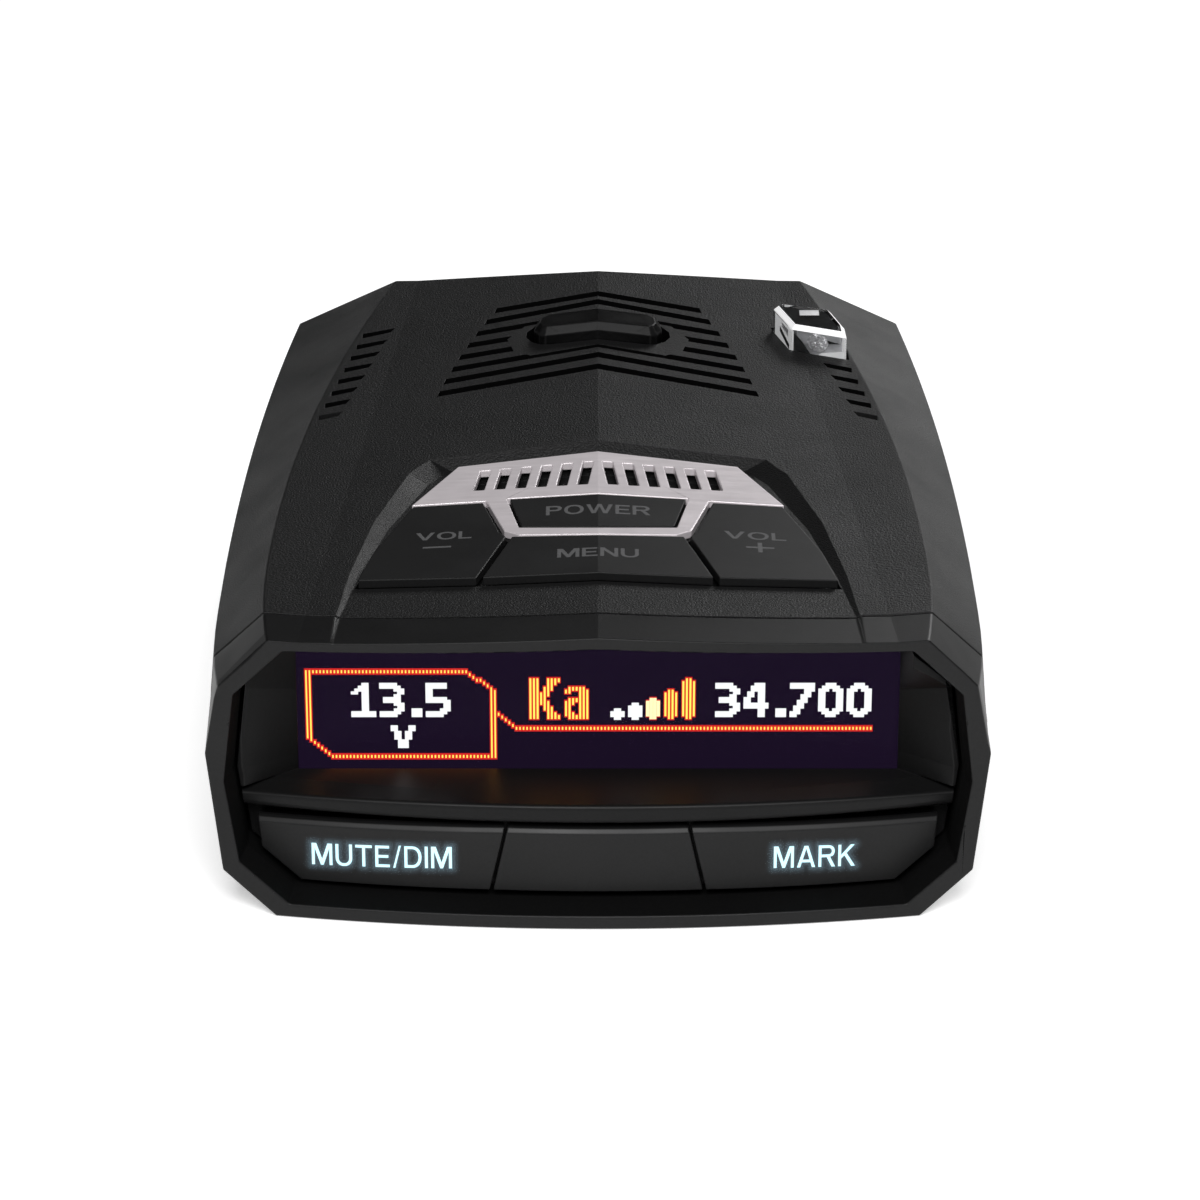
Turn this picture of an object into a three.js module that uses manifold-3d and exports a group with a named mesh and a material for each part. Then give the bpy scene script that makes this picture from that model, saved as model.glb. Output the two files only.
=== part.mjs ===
// Windscreen radar detector, as an assembly of its case, display, keys, latch, antennas and sockets.
// Millimetres. X to the driver's right, Y towards the road, Z up, origin under the middle of the case.
import * as THREE from "three";
import { mergeVertices } from "three/addons/utils/BufferGeometryUtils.js";
import Module from "manifold-3d";

const wasm = await Module();
wasm.setup();

// ---- Driving dimensions ---------------------------------------------------------------------------
const FRONT = -52.7; // ridge of the bowed front face, on the driver's side
const REAR = 52.7; // ridge of the rear wall, on the road side
const FRONT_BOW = 0.0028; // front face: y = FRONT + FRONT_BOW x^2
const REAR_BOW = 0.0007;
const KEY_BOW = 0.0036; // bow of the shelf lip and of the front keys
const BEZEL_DEPTH = 6.4;
const PARTING_Z = 17.2; // joint between the top and bottom covers
const WALL = 2.0;
const GAP = 0.3; // clearance between neighbouring pieces

const ROOF_Z = 31.5; // roof ridge at the front
const ROOF_FALL = 0.008; // fall per millimetre towards the road
const ROOF_SLOPE = 0.052; // fall per millimetre to each side of the ridge
const RECESS_FALL = 0.028; // extra fall of the key recess floor

const KEY_HEIGHT = 0.85; // key and trim tops above the recess floor
const KEY_POCKET = 1.0; // pocket under the keys, below the recess floor
const DECK_DEPTH = 2.6; // underside of the key deck, below the recess floor
const KEY_SLACK = 0.9; // free height under a key cap
const CAP = 1.4; // thickness of the front key caps
const LIP_Y = FRONT + 3.0; // front of the shelf lip and of the front keys

const SHELF_Z = 12.0;
const DISPLAY_Y = -41.1; // front of the display window
const DISPLAY_HALF = 29.8;
const DISPLAY_TOP = 25.6;

const BOARD_TOP = 6.8; // component side of the main board
const BOARD = 1.6;
const KEY_BOARD_TOP = 21.5;
const REAR_WALL_Y = REAR - 2.2; // inner face of the rear wall

const SLOT_HALF = 11.0; // bracket slot: half width, floor, closed end
const SLOT_FLOOR = 23.2;
const SLOT_END = 37.9;

const SCREWS = [[-28, -24], [28, -24], [-26.2, 44], [26.2, 44]];
const SWITCH = 6; // tactile switch body
const SWITCH_HEIGHT = 3.4;
const PLUNGER_R = 1.4;

// ---- Solids -----------------------------------------------------------------------------------------
function signedVolume(position, index) {
  const [a, b, c] = [new THREE.Vector3(), new THREE.Vector3(), new THREE.Vector3()];
  let total = 0;
  for (let i = 0; i < index.length; i += 3) {
    a.fromBufferAttribute(position, index[i]);
    b.fromBufferAttribute(position, index[i + 1]);
    c.fromBufferAttribute(position, index[i + 2]);
    total += a.dot(b.cross(c));
  }
  return total;
}

// A closed geometry as a manifold solid, turned to face outwards.
function solid(geometry) {
  const bare = geometry.clone();
  bare.deleteAttribute("normal");
  bare.deleteAttribute("uv");
  const merged = mergeVertices(bare, 1e-4);
  const index = Uint32Array.from(merged.index.array);
  if (signedVolume(merged.attributes.position, index) < 0) {
    for (let i = 0; i < index.length; i += 3) {
      [index[i + 1], index[i + 2]] = [index[i + 2], index[i + 1]];
    }
  }
  const vertProperties = Float32Array.from(merged.attributes.position.array);
  return new wasm.Manifold(new wasm.Mesh({ numProp: 3, vertProperties, triVerts: index }));
}

function geometryOf(shape) {
  const mesh = shape.getMesh();
  const geometry = new THREE.BufferGeometry();
  geometry.setAttribute("position", new THREE.BufferAttribute(Float32Array.from(mesh.vertProperties), 3));
  geometry.setIndex(new THREE.BufferAttribute(Uint32Array.from(mesh.triVerts), 1));
  return geometry;
}

const join = (first, ...others) => others.reduce((whole, next) => whole.add(next), first);
const cut = (first, ...others) => others.reduce((whole, next) => whole.subtract(next), first);

function block(x0, x1, y0, y1, z0, z1) {
  const geometry = new THREE.BoxGeometry(x1 - x0, y1 - y0, z1 - z0);
  return solid(geometry.translate((x0 + x1) / 2, (y0 + y1) / 2, (z0 + z1) / 2));
}

// An outline [x, y] extruded upwards from z0 to z1.
function prismZ(outline, z0, z1) {
  const shape = new THREE.Shape(outline.map(([x, y]) => new THREE.Vector2(x, y)));
  const geometry = new THREE.ExtrudeGeometry(shape, { depth: z1 - z0, bevelEnabled: false });
  return solid(geometry.translate(0, 0, z0));
}

// An outline [x, z] extruded along Y from y0 to y1.
function prismY(outline, y0, y1) {
  const shape = new THREE.Shape(outline.map(([x, z]) => new THREE.Vector2(x, z)));
  const geometry = new THREE.ExtrudeGeometry(shape, { depth: y1 - y0, bevelEnabled: false });
  return solid(geometry.rotateX(Math.PI / 2).translate(0, y1, 0));
}

function rodZ(x, y, radius, z0, z1, sides = 20) {
  const geometry = new THREE.CylinderGeometry(radius, radius, z1 - z0, sides);
  return solid(geometry.rotateX(Math.PI / 2).translate(x, y, (z0 + z1) / 2));
}

function rodY(x, z, radius, y0, y1, sides = 20) {
  const geometry = new THREE.CylinderGeometry(radius, radius, y1 - y0, sides);
  return solid(geometry.translate(x, (y0 + y1) / 2, z));
}

function rodX(y, z, radius, x0, x1, sides = 20) {
  const geometry = new THREE.CylinderGeometry(radius, radius, x1 - x0, sides);
  return solid(geometry.rotateZ(Math.PI / 2).translate((x0 + x1) / 2, y, z));
}

// A skin through equal-length rings of points, closed at both ends by fans around their centres.
function loft(rings) {
  const count = rings[0].length;
  const last = (rings.length - 1) * count;
  const ends = [rings[0], rings[rings.length - 1]];
  const mean = (ring, axis) => ring.reduce((sum, point) => sum + point[axis], 0) / count;
  const centres = ends.map((ring) => [0, 1, 2].map((axis) => mean(ring, axis)));
  const index = [];
  for (let i = 0; i < count; i += 1) {
    const next = (i + 1) % count;
    for (let start = 0; start < last; start += count) {
      const [a, b] = [start + i, start + next];
      index.push(a, b, a + count, b, b + count, a + count);
    }
    index.push(next, i, last + count);
    index.push(last + i, last + next, last + count + 1);
  }
  const geometry = new THREE.BufferGeometry();
  geometry.setAttribute("position", new THREE.Float32BufferAttribute([...rings, centres].flat(2), 3));
  geometry.setIndex(index);
  return solid(geometry);
}

// stations: [y, outline [x, z]] pairs.
function loftY(stations) {
  const rings = stations.map(([y, outline]) => outline.map(([x, z]) => [x, y, z]));
  return loft(rings);
}

// levels: [z, outline [x, y]] pairs.
function loftZ(levels) {
  const rings = levels.map(([z, outline]) => outline.map(([x, y]) => [x, y, z]));
  return loft(rings);
}

// The full outline of a half outline that starts and ends on the middle line.
function mirrored(half) {
  const left = half.slice(1, -1).reverse().map(([x, other]) => [-x, other]);
  return [...half, ...left];
}

// A convex outline moved inwards by a distance.
function inset(outline, distance) {
  const turn = Math.sign(THREE.ShapeUtils.area(outline.map(([x, y]) => new THREE.Vector2(x, y))));
  const edges = outline.map(([x0, y0], i) => {
    const [x1, y1] = outline[(i + 1) % outline.length];
    const length = Math.hypot(x1 - x0, y1 - y0);
    const [dx, dy] = [(x1 - x0) / length, (y1 - y0) / length];
    return { x: x0 - dy * distance * turn, y: y0 + dx * distance * turn, dx, dy };
  });
  return edges.map((edge, i) => {
    const before = edges[(i + edges.length - 1) % edges.length];
    const cross = before.dx * edge.dy - before.dy * edge.dx;
    if (Math.abs(cross) < 1e-6) return [edge.x, edge.y];
    const along = ((edge.x - before.x) * edge.dy - (edge.y - before.y) * edge.dx) / cross;
    return [before.x + before.dx * along, before.y + before.dy * along];
  });
}

// ---- Roof coordinates: the right half of a piece, with z measured from the roof, laid on both slopes.
function onRoof(half, extraFall = 0) {
  const fall = ROOF_FALL + extraFall;
  const lay = new THREE.Matrix4().set(
    1, 0, 0, 0,
    0, 1, 0, 0,
    -ROOF_SLOPE, -fall, 1, ROOF_Z + fall * FRONT,
    0, 0, 0, 1,
  );
  const right = geometryOf(half).applyMatrix4(lay);
  return solid(right).add(solid(right.clone().scale(-1, 1, 1)));
}

const onRecess = (half) => onRoof(half, RECESS_FALL);

// ---- Case envelope ----------------------------------------------------------------------------------
const BROW_Y = -21.3; // where the brow and the waist are widest
const BROW_HALF = 38.2;
const WAIST = 0.4; // the waist stands this much outside the brow
const SHOULDER_Y = -32.3;
const SHOULDER_HALF = 33.1;

function browHalf(y) {
  const back = y - BROW_Y;
  return back > 0 ? BROW_HALF - 3.2 * (back / 72.3) ** 2.18 : BROW_HALF - 0.82 * (-back / 25) ** 4.3;
}

function waistHalf(y) {
  const back = y - BROW_Y;
  return WAIST + (back > 0 ? browHalf(y) : BROW_HALF - 0.15 * (back / 28.7) ** 2);
}

function shoulderHalf(y) {
  const back = y - SHOULDER_Y;
  return SHOULDER_HALF - (back > 0 ? 9.0 * (back / 82) ** 2 : 0.45 * (back / 11) ** 2);
}

function caseSection(y) {
  const ridge = ROOF_Z - ROOF_FALL * (y - FRONT);
  const crease = 25.06 - 0.0785 * y;
  const flank = ridge - ROOF_SLOPE * crease;
  const waist = waistHalf(y);
  const browZ = 25.2 + (y < -20 ? 0.019 : -0.011) * (y + 20);
  return mirrored([
    [0, ridge],
    [crease, flank],
    [shoulderHalf(y), flank],
    [browHalf(y), browZ],
    [waist, PARTING_Z],
    [waist * 0.9636, 4.6],
    [waist * 0.829, 0],
    [0, 0],
  ]);
}

const STATIONS = [-56, -50, -44, -33, -21, -8, 6, 20, 34, 46, 56];

// Everything between two bowed planes, given by their ridge and bow.
function between(front, frontBow, rear, rearBow, z0 = -5, z1 = 40) {
  const xs = Array.from({ length: 15 }, (_, i) => -42 + 6 * i);
  const near = xs.map((x) => [x, front + frontBow * x * x]);
  const far = xs.map((x) => [x, rear + rearBow * x * x]).reverse();
  return prismZ([...near, ...far], z0, z1);
}

const envelope = loftY(STATIONS.map((y) => [y, caseSection(y)]));
const cavity = loftY(STATIONS.map((y) => [y, inset(caseSection(y), WALL)]));

// ---- Key recess, keys and trim on the roof ---------------------------------------------------------
const RECESS_EDGE = [
  [0, -1.1], [17.7, -4.4], [19.8, -8.2], [22.9, -21], [24.7, -34], [25.6, -44.5], [25.75, -58], [0, -58],
];
const RECESS_FOOT = [
  [0, -1.7], [15.3, -4.5], [17.4, -8.6], [20.5, -21.2], [22.3, -34.1], [23.2, -44.6], [23.35, -58], [0, -58],
];
const RECESS_DROP = 1.5; // height between the foot and the edge outlines

function keyRecess() {
  const above = RECESS_EDGE.map(([x, y], i) => [2 * x - RECESS_FOOT[i][0], 2 * y - RECESS_FOOT[i][1]]);
  const walls = onRoof(loftZ([[-RECESS_DROP, RECESS_FOOT], [RECESS_DROP, above]]));
  const floor = onRecess(prismZ([[0, 5], [40, 5], [40, -60], [0, -60]], 0, 6));
  return walls.intersect(floor);
}

const TRIM = [[0, -2.85], [14.7, -5.6], [19.2, -16.5], [11.5, -16.2], [9.5, -25.0], [8, -26.3], [0, -27.1]];
const TRIM_WELL = [[0, -5], [13.9, -6.7], [13.9, -13.4], [0, -13.6]];
const TRIM_HOLE = [[0, -15.45], [9.4, -15.75], [8, -24.25], [0, -25.3]];
const POWER = [[0, -15.8], [9.05, -16.05], [7.75, -23.95], [0, -24.95]];
const MENU = [[0, -27.45], [8.7, -26.75], [11.4, -37.5], [0, -37.6]];
const VOLUME = [
  [11.85, -16.75], [19, -16.95], [22.5, -29.2], [23.75, -36.7], [12, -37.5], [9.3, -26.7], [10, -25.4],
];
const POWER_POCKET = [[0, -15.6], [9.25, -15.9], [7.95, -24.15], [0, -25.15]];
const LOWER_POCKET = [
  [0, -27.3], [8.8, -26.5], [9.7, -25.2], [11.6, -16.5], [19.25, -16.7], [22.8, -29.1], [24.1, -37],
  [11.7, -37.8], [0, -37.9],
];
const DECK = [
  [0, 0.6], [19, -2.6], [21.6, -7.5], [24.7, -21], [26.4, -34], [26.8, -39.2], [0, -39.2],
];
const TOP_STEMS = { power: [0, -20], menu: [0, -32], volume_down: [-17.5, -27], volume_up: [17.5, -27] };
const STEM_END = KEY_BOARD_TOP + SWITCH_HEIGHT + 1.7; // underside of a top key's stem
const STEM = 2.0; // half width of the key stems
const STEM_DEPTH = 1.5; // and half depth

function topStem([x, y], slack) {
  const [front, rear] = [y - STEM_DEPTH - slack, y + STEM_DEPTH + slack];
  return block(x - STEM - slack, x + STEM + slack, front, rear, STEM_END, ROOF_Z);
}

const CAP_BOTTOM = -KEY_POCKET + KEY_SLACK; // underside of the top key caps, above the recess floor
const underCaps = onRecess(prismZ([[0, 0], [30, 0], [30, -50], [0, -50]], -12, CAP_BOTTOM + 0.5));

function topKey(cap, spot) {
  return cap.add(topStem(spot, 0).intersect(underCaps));
}

function volumeKey(side) {
  const half = side < 0 ? block(-45, 0, -60, 60, -5, 50) : block(0, 45, -60, 60, -5, 50);
  const caps = onRecess(prismZ(VOLUME, CAP_BOTTOM, KEY_HEIGHT));
  return topKey(caps.intersect(half), side < 0 ? TOP_STEMS.volume_down : TOP_STEMS.volume_up);
}

// The trim is pierced by two mirrored rows of leaning slots.
const TRIM_SLOTS = 6;
const TRIM_SLOT_START = 1.3; // middle of the first slot beside the ridge
const TRIM_SLOT_PITCH = 2.15;
const TRIM_SLOT_HALF = 0.55;
const TRIM_SLOT_LEAN = 0.3;

function trimPlate() {
  const slots = Array.from({ length: TRIM_SLOTS }, (_, i) => {
    const x = TRIM_SLOT_START + TRIM_SLOT_PITCH * i;
    const [front, rear] = [-12.6 - 0.03 * x, -5.7 - 0.12 * x];
    const outline = [
      [x - TRIM_SLOT_HALF + TRIM_SLOT_LEAN, front],
      [x + TRIM_SLOT_HALF + TRIM_SLOT_LEAN, front],
      [x + TRIM_SLOT_HALF - TRIM_SLOT_LEAN, rear],
      [x - TRIM_SLOT_HALF - TRIM_SLOT_LEAN, rear],
    ];
    return prismZ(outline, -1, 2);
  });
  return onRecess(cut(prismZ(TRIM, 0.05, KEY_HEIGHT), prismZ(TRIM_HOLE, -1, 2), ...slots));
}

// ---- Louvres in the roof ----------------------------------------------------------------------------
const LOUVRE_RIDGES = [44.8, 42.1, 38.2, 34.6, 31.2, 28.0, 24.75, 21.1]; // rows from the rear to the front
const LOUVRE_HALF = 0.82;
const LOUVRE_LEAN = 0.12; // sideways lean of the slot ends
const LOUVRE_SWELL = 0.037; // bulge of the line the outer slot ends lie on
const SIDE_LOUVRE_HALF = 0.7;
const SIDE_LOUVRE_LEAN = 0.22;
const FIRST_RIGHT_ROW = 3; // the rear laser lens takes the place of the rows behind it
const ISLAND = [[0, 28.1], [7.5, 25.5], [9.4, 27.0], [10.2, 31.0], [8.3, 35.0], [0, 38.2]];
const BUTTON_WELL = [
  [0, 29.7], [5.4, 28.75], [6.5, 28.9], [7.5, 29.9], [8.1, 31.4], [8.0, 33.0], [7.1, 34.8], [5.8, 35.6],
  [0, 36.4],
];

function centreLouvre(ridge, row) {
  const swell = LOUVRE_SWELL * row * (LOUVRE_RIDGES.length - 1 - row);
  const [x, y] = [11.7 + 0.82 * row + swell, 40.7 - 3.69 * row];
  const outline = [
    [0, ridge - LOUVRE_HALF],
    [x + LOUVRE_LEAN, y - LOUVRE_HALF],
    [x - LOUVRE_LEAN, y + LOUVRE_HALF],
    [0, ridge + LOUVRE_HALF],
  ];
  return onRoof(prismZ(outline, -4, 2));
}

function sideLouvre(row, side) {
  const [outerX, outerY] = [26.6 + 0.515 * row, 33.8 - 3.6 * row];
  const [innerX, innerY] = [23.3 + 0.655 * row, 35.7 - 3.69 * row];
  const corners = [
    [side * outerX, outerY - SIDE_LOUVRE_HALF],
    [side * (innerX + SIDE_LOUVRE_LEAN), innerY - SIDE_LOUVRE_HALF],
    [side * (innerX - SIDE_LOUVRE_LEAN), innerY + SIDE_LOUVRE_HALF],
    [side * outerX, outerY + SIDE_LOUVRE_HALF],
  ];
  return prismZ(corners, 24, 34);
}

function louvres() {
  const rows = LOUVRE_RIDGES.map((_, row) => row);
  const island = onRoof(prismZ(ISLAND, -5, 3));
  const centre = LOUVRE_RIDGES.map((ridge, row) => centreLouvre(ridge, row).subtract(island));
  const left = rows.map((row) => sideLouvre(row, -1));
  const right = rows.slice(FIRST_RIGHT_ROW).map((row) => sideLouvre(row, 1));
  return [...centre, ...left, ...right];
}

// ---- Rear laser lens, on the right of the roof ------------------------------------------------------
const LENS = [[21.7, 29.5], [27.7, 26.7], [27.6, 29.6], [26.3, 34.8], [20.9, 36.8], [19.9, 35.9]];
const LENS_TOP = 32.6;
const LENS_FOOT = 28.0;
const LENS_CHAMFER = 0.5;

function rearLens() {
  return loftZ([[LENS_FOOT, LENS], [LENS_TOP - LENS_CHAMFER, LENS], [LENS_TOP, inset(LENS, LENS_CHAMFER)]]);
}

function rearSensor() {
  return join(block(20.5, 27.5, 28.5, 37, 24, 25.2), block(22.5, 26, 31, 34.5, 25, 27.2));
}

// ---- Covers -----------------------------------------------------------------------------------------
const POWER_SOCKET = { y: 14, half: 6, z0: BOARD_TOP + GAP, z1: BOARD_TOP + GAP + 7.6 };
const USB_SOCKET = { y: 6, half: 3.9, z0: BOARD_TOP + GAP, z1: BOARD_TOP + GAP + 3.9 };
const AUDIO_JACK = { y: -12, z: 10.4, radius: 3.1 };
const WINDOW = { x0: 13.5, x1: 23, z0: 7.5, z1: 14.5 };
const POST_R = 2.6; // screw posts under the roof
const POST_BORE_R = 1.4;
const POST_BORE_TOP = 13.5;
const BOSS_R = 4.2; // screw bosses on the floor
const HEAD_BORE_R = 3.0;
const HEAD_BORE_TOP = 2.6;
const SHANK_BORE_R = 1.5;

const caseBody = envelope.intersect(between(FRONT + BEZEL_DEPTH + GAP, FRONT_BOW, REAR, -REAR_BOW));
const shell = caseBody.subtract(cavity.intersect(block(-45, 45, -60, REAR_WALL_Y, -5, 40)));

function topCover() {
  const deck = caseBody.intersect(onRecess(prismZ(DECK, -DECK_DEPTH, 6)));
  const posts = SCREWS.map(([x, y]) => rodZ(x, y, POST_R, BOARD_TOP + GAP, 29, 12).intersect(caseBody));
  const bores = SCREWS.map(([x, y]) => rodZ(x, y, POST_BORE_R, 0, POST_BORE_TOP, 12));
  const upper = shell.intersect(block(-45, 45, -60, 60, PARTING_Z + GAP / 2, 40));
  const pockets = [POWER_POCKET, LOWER_POCKET].map((outline) => onRecess(prismZ(outline, -KEY_POCKET, 1)));
  const stems = Object.values(TOP_STEMS).map((place) => topStem(place, GAP));
  return cut(
    join(upper, deck, ...posts),
    keyRecess(),
    ...pockets,
    ...stems,
    ...bores,
    ...louvres(),
    onRoof(prismZ(BUTTON_WELL, -5, 3)),
    onRecess(prismZ(TRIM_WELL, -KEY_POCKET, 1)),
    prismZ(inset(LENS, -GAP), 26, 34),
    block(-SLOT_HALF - 1.5, SLOT_HALF + 1.5, REAR_WALL_Y - 1, 60, SLOT_FLOOR - 1.5, 27.9),
  );
}

function bottomCover() {
  const lower = shell.intersect(block(-45, 45, -60, 60, -1, PARTING_Z - GAP / 2));
  const bossTop = BOARD_TOP - BOARD - GAP;
  const bosses = SCREWS.map(([x, y]) => rodZ(x, y, BOSS_R, 0, bossTop, 16).intersect(envelope));
  const heads = SCREWS.map(([x, y]) => rodZ(x, y, HEAD_BORE_R, -1, HEAD_BORE_TOP, 16));
  const bores = SCREWS.map(([x, y]) => rodZ(x, y, SHANK_BORE_R, -1, 8, 12));
  const [power, usb] = [POWER_SOCKET, USB_SOCKET];
  return cut(
    join(lower, ...bosses),
    ...heads,
    ...bores,
    block(30, 45, power.y - power.half - GAP, power.y + power.half + GAP, power.z0 - GAP, power.z1 + GAP),
    block(-45, -30, usb.y - usb.half - GAP, usb.y + usb.half + GAP, usb.z0 - GAP, usb.z1 + GAP),
    rodX(AUDIO_JACK.y, AUDIO_JACK.z, AUDIO_JACK.radius + GAP, -45, -30, 16),
    block(WINDOW.x0 - GAP, WINDOW.x1 + GAP, REAR_WALL_Y - 1, 60, WINDOW.z0 - GAP, WINDOW.z1 + GAP),
  );
}

// ---- Front bezel and display shroud -----------------------------------------------------------------
const BEZEL_MOUTH = [
  [0, 30.3], [30.5, 28.9], [35.5, 23.8], [36.7, 14.3], [35.4, 5.65], [30.5, 1.4], [0, 1.4],
];
const BEZEL_THROAT = [
  [0, 29.2], [30.2, 28.2], [34.9, 23.5], [35.95, 14.3], [34.85, 5.9], [30.1, 1.8], [0, 1.8],
];
const THROAT_DEPTH = 3.6;
const SHROUD = [[0, 27.6], [29.9, 27.6], [34.6, 23.3], [35.65, 14.3], [34.55, 6.1], [29.95, 2.1], [0, 2.1]];
const SHROUD_END = -40.1;
const KEY_ROW_TOP = 9.95;
const KEY_ROW_DEPTH = 2.3; // free depth behind the front of the keys
const LIP_UNDERCUT = 0.8;
const WEB = 1.5; // wall between the keys and the boards
const WINDOW_LAP = 0.3; // overlap of the window above and below the niche
const WINDOW_SIDE = 0.9; // and to each side
const WINDOW_THICKNESS = 1.0;
const NICHE_FRONT = -54; // where the flared walls of the niche are drawn from
const NICHE_MOUTH = [[0, 32.4], [32.3, 32.4], [44.2, 27.1], [46.4, 14.3], [45.8, SHELF_Z], [0, SHELF_Z]];
const NICHE_BACK = [
  [0, DISPLAY_TOP], [DISPLAY_HALF, DISPLAY_TOP], [DISPLAY_HALF, 20.7], [DISPLAY_HALF, 14],
  [DISPLAY_HALF, SHELF_Z], [0, SHELF_Z],
];

// An outline with every side divided into equal parts.
function divided(outline, parts) {
  return outline.flatMap(([x0, z0], i) => {
    const [x1, z1] = outline[(i + 1) % outline.length];
    const shares = Array.from({ length: parts }, (_, k) => k / parts);
    return shares.map((share) => [x0 + (x1 - x0) * share, z0 + (z1 - z0) * share]);
  });
}

// The opening through the bezel; its depths are measured from the bowed front face.
function bezelMouth() {
  const depths = [
    [-9, BEZEL_MOUTH],
    [0, BEZEL_MOUTH],
    [THROAT_DEPTH, BEZEL_THROAT],
    [THROAT_DEPTH + BEZEL_DEPTH + 4, BEZEL_THROAT],
  ];
  const rings = depths.map(([depth, half]) => {
    const outline = divided(mirrored(half), 5);
    return outline.map(([x, z]) => [x, FRONT + FRONT_BOW * x * x + depth, z]);
  });
  return loft(rings);
}

function frontBezel() {
  const band = envelope.intersect(between(FRONT, FRONT_BOW, FRONT + BEZEL_DEPTH, FRONT_BOW));
  return cut(band, bezelMouth(), keyRecess());
}

function displayShroud() {
  const body = prismY(mirrored(SHROUD), -56, SHROUD_END);
  const niche = loftY([[NICHE_FRONT, mirrored(NICHE_MOUTH)], [DISPLAY_Y, mirrored(NICHE_BACK)]]);
  const seat = WINDOW_LAP + GAP;
  const seatHalf = DISPLAY_HALF + WINDOW_SIDE + GAP;
  const windowSeat = block(-seatHalf, seatHalf, DISPLAY_Y, -30, SHELF_Z - seat, DISPLAY_TOP + seat);
  const keyRow = between(-60, 0, LIP_Y + KEY_ROW_DEPTH, KEY_BOW, -5, KEY_ROW_TOP);
  const lip = between(-60, 0, LIP_Y + LIP_UNDERCUT, KEY_BOW, -5, KEY_ROW_TOP + LIP_UNDERCUT);
  const webRear = between(LIP_Y + KEY_ROW_DEPTH + WEB, KEY_BOW, -30, 0, 3.3, SHELF_Z - 1.4);
  const behind = webRear.intersect(block(-33, 33, -60, -20, 0, 20));
  const stems = FRONT_STEMS.map((x) => frontStem(x, GAP));
  return cut(
    body.intersect(between(LIP_Y, KEY_BOW, -30, 0)),
    niche,
    windowSeat,
    keyRow,
    lip,
    behind,
    ...stems,
  );
}

// ---- Front keys -------------------------------------------------------------------------------------
const SIDE_STEM = 21.5;
const CENTRE_STEM = 4;
const FRONT_STEMS = [-SIDE_STEM, -CENTRE_STEM, CENTRE_STEM, SIDE_STEM];
const FRONT_STEM_END = -42.4;
const FRONT_STEM_Z = 6.2;
const SIDE_KEY = [[9.2, 9.4], [33.7, 8.8], [33.4, 5.6], [29.5, 2.35], [10.7, 2.6]];
const CENTRE_PANEL = [[0, 9.4], [8.9, 9.4], [10.35, 2.6], [0, 2.6]];

function frontStem(x, slack) {
  const z = FRONT_STEM_Z;
  const [low, high] = [z - STEM_DEPTH - slack, z + STEM_DEPTH + slack];
  return block(x - STEM - slack, x + STEM + slack, LIP_Y + 1, FRONT_STEM_END, low, high);
}

const frontCaps = between(LIP_Y, KEY_BOW, LIP_Y + CAP, KEY_BOW);
const behindCaps = between(LIP_Y + CAP / 2, KEY_BOW, -30, 0);

function sideKey(side) {
  const cap = prismY(SIDE_KEY.map(([x, z]) => [side * x, z]), -56, -40).intersect(frontCaps);
  return cap.add(frontStem(side * SIDE_STEM, 0).intersect(behindCaps));
}

function centrePanel() {
  const cap = prismY(mirrored(CENTRE_PANEL), -56, -40).intersect(frontCaps);
  const posts = [-CENTRE_STEM, CENTRE_STEM].map((x) => frontStem(x, 0).intersect(behindCaps));
  return join(cap, ...posts);
}

// ---- Mount release: a bar on the roof whose foot carries the latch tooth under the bracket slot -----
const BUTTON = [[0, 29.95], [5.9, 28.95], [6.6, 29.3], [7.2, 30.8], [6.9, 33.2], [5.9, 34.3], [0, 35.6]];
const BUTTON_FACE = [[0, 30.6], [5.7, 29.7], [6.1, 30.0], [6.5, 31.0], [6.3, 32.6], [5.6, 33.5], [0, 34.8]];
const BUTTON_TOP = 1.85; // the flat top, above the roof
const BUTTON_EDGE = 1.0; // where the slope around the top ends, above the roof
const FOOT_Z = 20.0;
const TOOTH = { half: 3, y0: 41.5, y1: 44 };

function releaseButton() {
  const bar = onRoof(loftZ([[-3.5, BUTTON], [BUTTON_EDGE, BUTTON], [BUTTON_TOP, BUTTON_FACE]]));
  const flange = block(-9.2, 9.2, 28.1, 36.5, 26.6, 27.8);
  const stem = block(-5, 5, 30, 32.5, FOOT_Z, 27);
  const foot = block(-5, 5, 30, TOOTH.y1, FOOT_Z, FOOT_Z + 1.6);
  const tooth = block(-TOOTH.half, TOOTH.half, TOOTH.y0, TOOTH.y1, FOOT_Z + 1, SLOT_FLOOR + 1.7);
  return join(bar, flange, stem, foot, tooth);
}

const CUP_Z = 15.6; // underside of the spring cup
const CUP = 1.0; // wall of the cup and of the cheeks it hangs from
const CUP_FRONT = 28.4;
const CHEEK = 5.8; // inner face of the cheeks
const LINER_WALL = 1.2;

function slotLiner() {
  const outer = SLOT_HALF + LINER_WALL;
  const channel = cut(
    block(-outer, outer, SLOT_END - 1, REAR - 0.6, SLOT_FLOOR - LINER_WALL, 27.6),
    block(-SLOT_HALF, SLOT_HALF, SLOT_END, 60, SLOT_FLOOR, 40),
    block(-TOOTH.half - 0.5, TOOTH.half + 0.5, TOOTH.y0 - 0.5, TOOTH.y1 + 0.5, 10, SLOT_FLOOR + 1),
  );
  const cheeks = [-CHEEK - CUP, CHEEK].map((x) => {
    return block(x, x + CUP, CUP_FRONT, SLOT_END, CUP_Z, SLOT_FLOOR - 0.6);
  });
  const cup = block(-CHEEK - CUP, CHEEK + CUP, CUP_FRONT, 34.5, CUP_Z, CUP_Z + CUP);
  return join(channel, ...cheeks, cup);
}

const SPRING = { y: 31.25, radius: 2.0, wire: 0.3, turns: 4 };

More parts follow.
